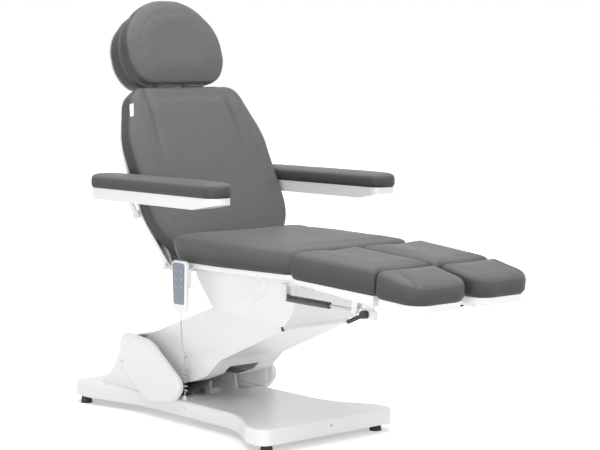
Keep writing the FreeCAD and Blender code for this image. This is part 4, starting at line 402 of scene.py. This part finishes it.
def normals_of(mesh):
    flat = np.empty(len(mesh.vertices) * 3)
    mesh.vertex_normals.foreach_get("vector", flat)
    return flat.reshape(-1, 3)


def put_places(mesh, places):
    mesh.vertices.foreach_set("co", places.ravel())
    mesh.update()


def step(values, low, high):
    """0 below low, 1 above high and smooth in between."""
    t = np.clip((values - low) / (high - low), 0, 1)
    return t * t * (3 - 2 * t)


def bell(values, middle, width):
    """1 at the middle, falling to about a third a width away."""
    return np.exp(-((values - middle) / width) ** 2)


def smoothed(mesh, places, rounds):
    """Moves each point half of the way to the middle of its neighbours."""
    count = len(mesh.vertices)
    ends = np.empty(len(mesh.edges) * 2, np.int64)
    mesh.edges.foreach_get("vertices", ends)
    a, b = ends[0::2], ends[1::2]
    degree = np.bincount(a, minlength=count) + np.bincount(b, minlength=count)
    for _ in range(rounds):
        total = np.zeros_like(places)
        for axis in range(3):
            total[:, axis] = np.bincount(a, places[b, axis], count) + np.bincount(b, places[a, axis], count)
        places = places + (total / degree[:, None] - places) * 0.5
    return places


def new_object(name, mesh, material=None):
    made = bpy.data.objects.new(name, mesh)
    bpy.context.scene.collection.objects.link(made)
    if material:
        mesh.materials.clear()
        mesh.materials.append(material)
    return made


def with_modifiers(made):
    """The object's mesh with its modifiers applied; the modifiers are then removed."""
    bpy.context.view_layer.update()
    result = bpy.data.meshes.new_from_object(made.evaluated_get(bpy.context.evaluated_depsgraph_get()))
    old = made.data
    made.modifiers.clear()
    made.data = result
    bpy.data.meshes.remove(old)
    return result


MERGE_GAP = 0.02 * MM


def solid_copy(node, name, axes):
    """A CAD solid as a merged mesh in its own axes."""
    mesh = NODES[node].data.copy()
    mesh.name = name
    mesh.materials.clear()
    work = bmesh.new()
    work.from_mesh(mesh)
    bmesh.ops.remove_doubles(work, verts=work.verts, dist=MERGE_GAP)
    bmesh.ops.recalc_face_normals(work, faces=work.faces)
    work.to_mesh(mesh)
    work.free()
    put_places(mesh, axes.local(places_of(mesh)))
    return mesh


CLOTH = {"quality": 4, "mass": 0.25, "tension_stiffness": 12, "compression_stiffness": 12,
         "shear_stiffness": 6, "bending_stiffness": 0.6, "use_pressure": True, "uniform_pressure_force": 4}
CLOTH_FRAMES = 20
LEAST_HOLD = 0.01             # a weaker hold on a point is left off


def puff(made, held, limit):
    """Blows the cover up with cloth; held is 0 to 1 for each point, limit caps the way that a point moves."""
    mesh = made.data
    start = places_of(mesh)
    group = made.vertex_groups.new(name="held")
    for index, weight in enumerate(held):
        if weight > LEAST_HOLD:
            group.add([index], float(weight), "REPLACE")
    cloth = made.modifiers.new("cover", "CLOTH")
    for key, value in CLOTH.items():
        setattr(cloth.settings, key, value)
    cloth.settings.effector_weights.gravity = 0
    cloth.settings.vertex_group_mass = "held"
    cloth.collision_settings.use_collision = False
    cloth.point_cache.frame_start = 1
    cloth.point_cache.frame_end = CLOTH_FRAMES
    for number in range(1, CLOTH_FRAMES + 1):
        bpy.context.scene.frame_set(number)
    blown = made.evaluated_get(bpy.context.evaluated_depsgraph_get()).to_mesh()
    way = places_of(blown) - start
    made.evaluated_get(bpy.context.evaluated_depsgraph_get()).to_mesh_clear()
    made.modifiers.clear()
    made.vertex_groups.clear()
    bpy.context.scene.frame_set(1)
    length = np.linalg.norm(way, axis=1)
    capped = limit * np.tanh(length / limit)
    way *= (capped / np.maximum(length, 1e-9))[:, None]
    put_places(mesh, start + way)


def creases(places, normals, seed, depth, grain):
    """Slow unevenness of a cover over foam."""
    shift = Vector((seed * 3.7, seed * 1.3, seed * 2.1))
    waves = np.array([noise.noise(Vector(p) / grain + shift)
                      + 0.5 * noise.noise(Vector(p) / (grain * 0.45) + shift) for p in places])
    return places + normals * (waves * depth)[:, None]


def mark(mesh, name, values):
    layer = mesh.attributes.new(name, "FLOAT", "POINT")
    layer.data.foreach_set("value", values.astype(np.float32))


def height_of(places):
    return places[:, 2]


def signed_depth(tree, places):
    """How far inside the solid each point lies, in metres; outside is below zero."""
    depth = np.empty(len(places))
    for index, place in enumerate(places):
        hit, normal, face, way = tree.find_nearest(Vector(place))
        depth[index] = way if (Vector(place) - hit).dot(normal) < 0 else -way
    return depth


PROUD = 6.0 * MM              # how far a cover's face may stand out of its solid
HELD_BACK = 0.4 * MM          # how far its side walls stay inside it
FILL_SHARE = 0.92             # how much of the room left in its solid a cover fills out
FILL_MOST = 0.012
CREASE_DEPTH = 0.0004
CREASE_GRAIN = 0.07
SHRINK_SHARE = 0.6            # how much of the cloth's cap a cover is drawn in by before it is blown up


def kept_in(tree, places, normals):
    """Pulls the side walls back into the solid, so that they clear what moves past them."""
    room = (PROUD + HELD_BACK) * step(normals[:, 2], 0.35, 0.75) - HELD_BACK
    excess = np.clip(-signed_depth(tree, places) - room, 0, None)
    return places - normals * excess[:, None]


def make_cushion(name, node, axes, voxel, foot, height, shape, seed, limit=0.007, level=height_of,
                 crease=None, side=0.6):
    """A CAD cushion remeshed, blown up, filled out to its solid and shaped, in its own axes.

    level gives a point's height, foot is that of the cushion's underside, and height its thickness.
    limit caps the cloth's way, crease gives the distance to a crease, and side is how light the painted shade
    on the side walls leaves them, from 0 to 1.
    """
    made = new_object(name, solid_copy(node, name, axes))
    solid = bmesh.new()
    solid.from_mesh(made.data)
    tree = BVHTree.FromBMesh(solid)
    solid.free()
    remesh = made.modifiers.new("even", "REMESH")
    remesh.mode = "VOXEL"
    remesh.voxel_size = voxel
    mesh = with_modifiers(made)
    places = smoothed(mesh, places_of(mesh), 2)
    put_places(mesh, places)
    share = (level(places) - foot) / height      # 0 at the tray, 1 at the face
    put_places(mesh, places - normals_of(mesh) * (limit * SHRINK_SHARE * step(share, 0.02, 0.3))[:, None])
    puff(made, 1 - step(share, 0.06, 0.28), limit)
    places = smoothed(mesh, places_of(mesh), 1)
    room = np.clip(signed_depth(tree, places) - HELD_BACK, 0, FILL_MOST)
    places = places + normals_of(mesh) * (room * FILL_SHARE)[:, None]
    put_places(mesh, shape(places))
    finer = made.modifiers.new("finer", "SUBSURF")
    finer.levels = 1
    finer.render_levels = 1
    mesh = with_modifiers(made)
    mesh.name = name
    put_places(mesh, creases(places_of(mesh), normals_of(mesh), seed, CREASE_DEPTH, CREASE_GRAIN))
    put_places(mesh, kept_in(tree, places_of(mesh), normals_of(mesh)))
    mesh.polygons.foreach_set("use_smooth", np.ones(len(mesh.polygons), bool))
    places = places_of(mesh)
    mark(mesh, "crease", crease(places) if crease else np.ones(len(places)))
    # painted shade: walls facing sideways keep only the share side of the level attribute, so they render
    # darker
    facing_painted_shade = side + (1 - side) * step(normals_of(mesh)[:, 2], 0.1, 0.8)
    mark(mesh, "level", np.clip((level(places) - foot) / height, 0, 1) * facing_painted_shade)
    put_places(mesh, axes.world(places))
    mesh.materials.clear()
    mesh.materials.append(FINISHES["leatherette"])
    return made


def finish_cushion(made, node, body):
    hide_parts(node)
    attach(made, body)


def mirrored(made, name):
    """The same piece on the chair's other side, with its faces turned back outwards."""
    mesh = made.data.copy()
    mesh.name = name
    mesh.transform(Matrix.Scale(-1, 4, (1, 0, 0)))
    mesh.flip_normals()
    return new_object(name, mesh)


def seat_shape(places):
    """Shallow hollow for the sitter, full front edge."""
    x, y, z = places.T
    top = step(z, 0.615, 0.632)
    hollow = bell(x, 0.0, 0.17) * bell(y, 0.04, 0.2)
    return places - np.stack([x * 0, y * 0, top * hollow * 0.005], 1)


BOLSTER_X = 0.177
BOLSTER_LEAN = 0.014          # how much further in the crease is at the top


def bolster_line(s):
    """How far from the middle the bolster's crease lies, up the back."""
    return BOLSTER_X - BOLSTER_LEAN * step(s, 0.34, 0.6)


def back_shape(places):
    """Two side bolsters whose inner creases fade out downwards, a shallow middle panel and a lumbar swell."""
    x, s, w = places.T
    front = step(w, 0.055, 0.078)
    side = np.abs(x)
    reach = step(s, 0.28, 0.5)
    line = bolster_line(s)
    fold = bell(side, line, 0.011) * 0.0085 * reach
    swell = bell(side, line + 0.042, 0.026) * 0.0075 * reach
    panel = bell(x, 0.0, 0.11) * 0.003 * step(s, 0.3, 0.45)
    lumbar = bell(s, 0.17, 0.09) * bell(x, 0.0, 0.16) * 0.004
    move = front * (swell + lumbar - fold - panel)
    return places + np.stack([x * 0, s * 0, move], 1)


def back_crease(places):
    """Distance to the bolsters' creases, grown where they fade out."""
    x, s, w = places.T
    fade = (1 - step(s, 0.34, 0.52)) * 0.03 + (1 - step(w, 0.055, 0.075)) * 0.05 + step(s, 0.57, 0.6) * 0.05
    return np.abs(np.abs(x) - bolster_line(s)) + fade


def pillow_shape(places):
    """Soft dish for the head with a full rim."""
    x, s, w = places.T
    top = step(w, 0.092, 0.104)
    dish = bell(x, 0.0, 0.1) * bell(s, 0.115, 0.08) * 0.004
    return places - np.stack([x * 0, s * 0, top * dish], 1)


def calf_shape(places):
    """A trough along the leg."""
    x, v, w = places.T
    top = step(w, 0.1, 0.12)
    trough = bell(x, 0.125, 0.07) * 0.005
    return places - np.stack([x * 0, v * 0, top * trough], 1)


FOOT_REAR = 0.354
FOOT_LENGTH = 0.168
FOOT_FALL = 0.026
FOOT_LOW = 0.034
FOOT_HIGH = 0.086


def foot_level(places):
    """Height as if the pad's face didn't fall towards its front."""
    v, w = places.T[1:]
    fall = FOOT_FALL * (-v - FOOT_REAR) / FOOT_LENGTH
    return FOOT_LOW + (w - FOOT_LOW) / (1 - fall / FOOT_HIGH)


def foot_line(v):
    """How far across the outer fold lies, along the pad."""
    return 0.198 + 0.02 * (-v - 0.424) / 0.11


def foot_shape(places):
    """A dished heel, with a soft fold along its outer side."""
    x, v = places.T[:2]
    top = step(foot_level(places), 0.1, 0.118)
    fade = step(-v, 0.375, 0.42) * (1 - step(-v, 0.5, 0.525))
    fold = bell(x, foot_line(v), 0.007) * 0.005 * fade
    heel = bell(x, 0.11, 0.06) * bell(v, -0.44, 0.07) * 0.0035
    return places - np.stack([x * 0, v * 0, top * (fold + heel)], 1)


def foot_crease(places):
    """Distance to the outer fold, grown where it fades out."""
    x, v = places.T[:2]
    fade = (1 - step(-v, 0.39, 0.425)) * 0.03 + step(-v, 0.495, 0.52) * 0.03
    fade = fade + (1 - step(foot_level(places), 0.1, 0.115)) * 0.05
    return np.abs(x - foot_line(v)) + fade


def plain(places):
    """No form beyond the solid's own."""
    return places


VOXEL = 0.006
FINE_VOXEL = 0.005
HEAD_LIMIT = 0.004            # how far the cloth may move the cover of the headrest
SIDE_LIMIT = 0.0045           # and of the pads that come in pairs


def make_cushions():
    """All ten covers; gives those that stitches and the tag are laid on, by body."""
    # side sets how light each cover's side walls are left by painted shade
    seat = make_cushion("seat_pad", "seat_cushion", CHAIR_AXES, VOXEL, foot=0.557, height=0.078,
                        shape=seat_shape, seed=1, side=0.95)
    finish_cushion(seat, "seat_cushion", "seat")
    back = make_cushion("back_pad", "back_cushion", BACK_AXES, VOXEL, foot=0.013, height=0.068,
                        shape=back_shape, seed=2, crease=back_crease, side=0.3)
    finish_cushion(back, "back_cushion", "back")
    head = make_cushion("headrest_pad", "headrest_cushion", HEAD_AXES, VOXEL, foot=-0.020, height=0.061,
                        shape=plain, seed=3, limit=HEAD_LIMIT, side=0.2)
    finish_cushion(head, "headrest_cushion", "headrest")
    pillow = make_cushion("headrest_pillow", "head_pillow", HEAD_AXES, VOXEL, foot=0.0433, height=0.054,
                          shape=pillow_shape, seed=4, side=0.35)
    finish_cushion(pillow, "head_pillow", "headrest")
    for body, name, node, axes, voxel, foot, height, shape, seed, level, crease in (
            ("armrest", "armrest_pad", "armrest_pad", CHAIR_AXES, FINE_VOXEL, 0.780, 0.043, plain, 5,
             height_of, None),
            ("calf", "calf_pad", "calf_cushion", LEG_AXES, VOXEL, 0.037, 0.084, calf_shape, 6,
             height_of, None),
            ("foot", "foot_pad", "foot_cushion", LEG_AXES, FINE_VOXEL, FOOT_LOW, FOOT_HIGH, foot_shape, 7,
             foot_level, foot_crease)):
        left = make_cushion(name + "_cover_left", node + "_left", axes, voxel, foot, height, shape, seed,
                            SIDE_LIMIT, level, crease)
        right = mirrored(left, name + "_cover_right")
        finish_cushion(left, node + "_left", body + "_left")
        finish_cushion(right, node + "_right", body + "_right")
        yield body + "_left", left
        yield body + "_right", right
    yield "back", back


PADS = dict(make_cushions())


# Stitches and tag
STITCH_PITCH = 6.0 * MM
STITCH_LENGTH = 3.8 * MM
STITCH_RADIUS = 0.4 * MM
SEAM_ALLOWANCE = 4.5 * MM
CAST_FROM = 0.4               # height over a pad from which points are brought down on it


def on_surface(made, axes, sides, lift):
    """Points over a pad, given across and along it, brought down on its cover."""
    tree = BVHTree.FromPolygons([v.co for v in made.data.vertices], [p.vertices for p in made.data.polygons])
    down = Vector(axes.turn @ np.array([0.0, 0.0, -1.0]))
    for across, along in sides:
        start = Vector(axes.world(np.array([[across, along, CAST_FROM]]))[0])
        yield tree.ray_cast(start, down)[0] - down * lift


def stitch_nodes():
    """Node group that sews stitches along the edges it is given."""
    group = bpy.data.node_groups.new("stitch_row", "GeometryNodeTree")
    sockets = group.interface
    sockets.new_socket("Geometry", in_out="INPUT", socket_type="NodeSocketGeometry")
    named = {name: sockets.new_socket(name, in_out="INPUT", socket_type=kind).identifier
             for name, kind in (("Pitch", "NodeSocketFloat"), ("Length", "NodeSocketFloat"),
                                ("Radius", "NodeSocketFloat"), ("Thread", "NodeSocketMaterial"))}
    sockets.new_socket("Geometry", in_out="OUTPUT", socket_type="NodeSocketGeometry")
    add = group.nodes.new
    join = group.links.new
    source, result = add("NodeGroupInput"), add("NodeGroupOutput")
    line = add("GeometryNodeMeshToCurve")
    even = add("GeometryNodeResampleCurve")
    even.mode = "LENGTH"
    stitch = add("GeometryNodeMeshCylinder")
    stitch.fill_type = "NGON"
    stitch.inputs["Vertices"].default_value = 6
    way = add("GeometryNodeInputTangent")
    turn = add("FunctionNodeAlignRotationToVector")
    turn.axis = "Z"
    sewn = add("GeometryNodeInstanceOnPoints")
    real = add("GeometryNodeRealizeInstances")
    thread = add("GeometryNodeSetMaterial")
    join(source.outputs["Geometry"], line.inputs["Mesh"])
    join(line.outputs["Curve"], even.inputs["Curve"])
    join(source.outputs["Pitch"], even.inputs["Length"])
    join(source.outputs["Radius"], stitch.inputs["Radius"])
    join(source.outputs["Length"], stitch.inputs["Depth"])
    join(way.outputs["Tangent"], turn.inputs["Vector"])
    join(even.outputs["Curve"], sewn.inputs["Points"])
    join(stitch.outputs["Mesh"], sewn.inputs["Instance"])
    join(turn.outputs["Rotation"], sewn.inputs["Rotation"])
    join(sewn.outputs["Instances"], real.inputs["Geometry"])
    join(real.outputs["Geometry"], thread.inputs["Geometry"])
    join(source.outputs["Thread"], thread.inputs["Material"])
    join(thread.outputs["Geometry"], result.inputs["Geometry"])
    return group, named


STITCHES, STITCH_SOCKETS = stitch_nodes()
THREAD = moulded_finish("thread", (0.075, 0.075, 0.077), 0.5, 1400.0)


def sew(name, rows, body):
    """One mesh of stitches along rows of points."""
    points = [place for row in rows for place in row]
    edges, start = [], 0
    for row in rows:
        edges += [(i, i + 1) for i in range(start, start + len(row) - 1)]
        start += len(row)
    mesh = bpy.data.meshes.new(name)
    mesh.from_pydata(points, edges, [])
    made = new_object(name, mesh)
    sewing = made.modifiers.new("stitches", "NODES")
    sewing.node_group = STITCHES
    for socket, value in (("Pitch", STITCH_PITCH), ("Length", STITCH_LENGTH), ("Radius", STITCH_RADIUS),
                          ("Thread", THREAD)):
        sewing[STITCH_SOCKETS[socket]] = value
    with_modifiers(made).name = name
    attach(made, body)


def make_stitches():
    """One row beside each fold of the back and of the two foot pads."""
    along = np.linspace(0.33, 0.565, 40)
    out = bolster_line(along) + SEAM_ALLOWANCE
    rows = [list(on_surface(PADS["back"], BACK_AXES, zip(side * out, along), STITCH_RADIUS * 0.2))
            for side in (-1, 1)]
    sew("back_stitches", rows, "back")
    along = np.linspace(-0.4, -0.505, 20)
    out = foot_line(along) + SEAM_ALLOWANCE
    for body, side in (("foot_left", 1), ("foot_right", -1)):
        rows = [list(on_surface(PADS[body], LEG_AXES, zip(side * out, along), STITCH_RADIUS * 0.2))]
        sew(body.replace("foot", "foot_stitches"), rows, body)


make_stitches()

# across and along the back
TAG_CORNERS = ((-0.2395, 0.553), (-0.23, 0.553), (-0.2445, 0.507), (-0.2535, 0.507))
TAG_STEPS = 8
TAG_THICKNESS = 0.5 * MM


def tag_finish():
    """Plain white woven ribbon."""
    f = Finish("woven_tag")
    weave = f.node("ShaderNodeTexWave", {"wave_type": "BANDS"}, Vector=f.place(), Scale=600.0)
    cloud = f.speckle(300.0, 2.0, 0.5)
    f.set(Base_Color=f.blend((weave * 0.6 + cloud * 0.4).clamped(), grey(0.8), grey(0.9)),
          Roughness=(0.7 + weave * 0.15).clamped())
    f.set(Normal=f.relief(weave, 0.0001, strength=0.4))
    return f.material


def make_tag():
    """Blank sewn-on ribbon near the top of the back pad's side."""
    a, b, c, d = (np.array(corner) for corner in TAG_CORNERS)
    grid = [(a * (1 - u) + b * u) * (1 - v) + (d * (1 - u) + c * u) * v
            for v in np.linspace(0, 1, TAG_STEPS + 1) for u in np.linspace(0, 1, TAG_STEPS + 1)]
    places = list(on_surface(PADS["back"], BACK_AXES, grid, TAG_THICKNESS * 0.5))
    row = TAG_STEPS + 1
    faces = [(i + j * row, i + 1 + j * row, i + 1 + (j + 1) * row, i + (j + 1) * row)
             for j in range(TAG_STEPS) for i in range(TAG_STEPS)]
    mesh = bpy.data.meshes.new("back_tag")
    mesh.from_pydata(places, [], faces)
    made = new_object("back_tag", mesh, tag_finish())
    thick = made.modifiers.new("thick", "SOLIDIFY")
    thick.thickness = TAG_THICKNESS
    thick.offset = 0
    with_modifiers(made).name = "back_tag"
    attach(made, "back")


make_tag()


# The carried-over solids
def dress_solids():
    """Gives each solid the finish of its slot."""
    slots = {part["node"]: part["material_slot"] for part in frame["record"]["subparts"]}
    for node, solid in NODES.items():
        solid.data.materials.clear()
        solid.data.materials.append(FINISHES[slots[node]])


dress_solids()


# Stage and light
def area_light(name, place, aim, width, height, power):
    data = bpy.data.lights.new(name, "AREA")
    data.shape = "RECTANGLE"
    data.size = width
    data.size_y = height
    data.energy = power
    lamp = bpy.data.objects.new(name, data)
    bpy.context.scene.collection.objects.link(lamp)
    way = Vector(aim) - Vector(place)
    lamp.matrix_world = Matrix.Translation(Vector(place)) @ way.to_track_quat("-Z", "Y").to_matrix().to_4x4()


OTHER_RAYS = ("Is Glossy Ray", "Is Transmission Ray")


def pale_world(level):
    """Lights the chair at a level; the camera, gloss and glass see plain white."""
    world = bpy.data.worlds.new("studio")
    world.use_nodes = True
    tree = world.node_tree
    tree.nodes.clear()
    rays = tree.nodes.new("ShaderNodeLightPath")
    seen = rays.outputs["Is Camera Ray"]
    for other in OTHER_RAYS:
        either = tree.nodes.new("ShaderNodeMath")
        either.operation = "MAXIMUM"
        tree.links.new(seen, either.inputs[0])
        tree.links.new(rays.outputs[other], either.inputs[1])
        seen = either.outputs[0]
    mix = tree.nodes.new("ShaderNodeMixShader")
    tree.links.new(seen, mix.inputs[0])
    for index, strength in ((1, level), (2, 1.0)):
        sky = tree.nodes.new("ShaderNodeBackground")
        sky.inputs["Color"].default_value = (1, 1, 1, 1)
        sky.inputs["Strength"].default_value = strength
        tree.links.new(sky.outputs[0], mix.inputs[index])
    output = tree.nodes.new("ShaderNodeOutputWorld")
    tree.links.new(mix.outputs[0], output.inputs[0])
    bpy.context.scene.world = world


def floor_finish():
    """Pale floor that shows its own shade near the chair and plain white further out."""
    f = Finish("studio_floor")
    fine = f.speckle(2.0, 3.0, 0.5)
    f.set(Base_Color=f.blend(fine, grey(0.88), grey(0.9)), Roughness=0.8, Specular_IOR_Level=0.1)
    rays = f.tree.nodes.new("ShaderNodeLightPath")
    shown = Signal(f, rays.outputs["Is Camera Ray"])
    for other in OTHER_RAYS:
        shown = shown.math("MAXIMUM", shown, Signal(f, rays.outputs[other]))
    away = f.node("ShaderNodeVectorMath", {"operation": "LENGTH"}, f.place(), out="Value")
    glow = away.ease(GLOW_FROM, GLOW_FULL, FLOOR_GLOW, 1.0)
    f.set(Emission_Color=f.blend((shown * glow).clamped(), grey(0.0), grey(1.0)), Emission_Strength=1.0)
    return f.material


FLOOR_HALF = 14.0
FLOOR_GLOW = 0.4              # share of plain white under the chair
GLOW_FROM, GLOW_FULL = 0.9, 2.6      # metres from the middle
WORLD_LEVEL = 0.46
LAMPS = (                     # place, aim, width, height, watts
    ("top_softbox", (-0.2, 0.2, 3.4), (0.0, 0.1, 0.5), 3.0, 3.0, 88),
    ("low_softbox", (-2.8, -1.4, 0.5), (0.0, 0.1, 0.2), 2.4, 0.8, 27),
    ("front_softbox", (0.6, -4.2, 2.4), (0.0, 0.0, 0.4), 3.0, 2.0, 48),
)


def make_stage():
    mesh = bpy.data.meshes.new("studio_floor")
    corners = [(x * FLOOR_HALF, y * FLOOR_HALF, 0) for x, y in ((-1, -1), (1, -1), (1, 1), (-1, 1))]
    mesh.from_pydata(corners, [], [(0, 1, 2, 3)])
    new_object("studio_floor", mesh, floor_finish())
    pale_world(WORLD_LEVEL)
    for lamp in LAMPS:
        area_light(*lamp)
    bpy.context.scene.view_settings.view_transform = "Standard"


make_stage()
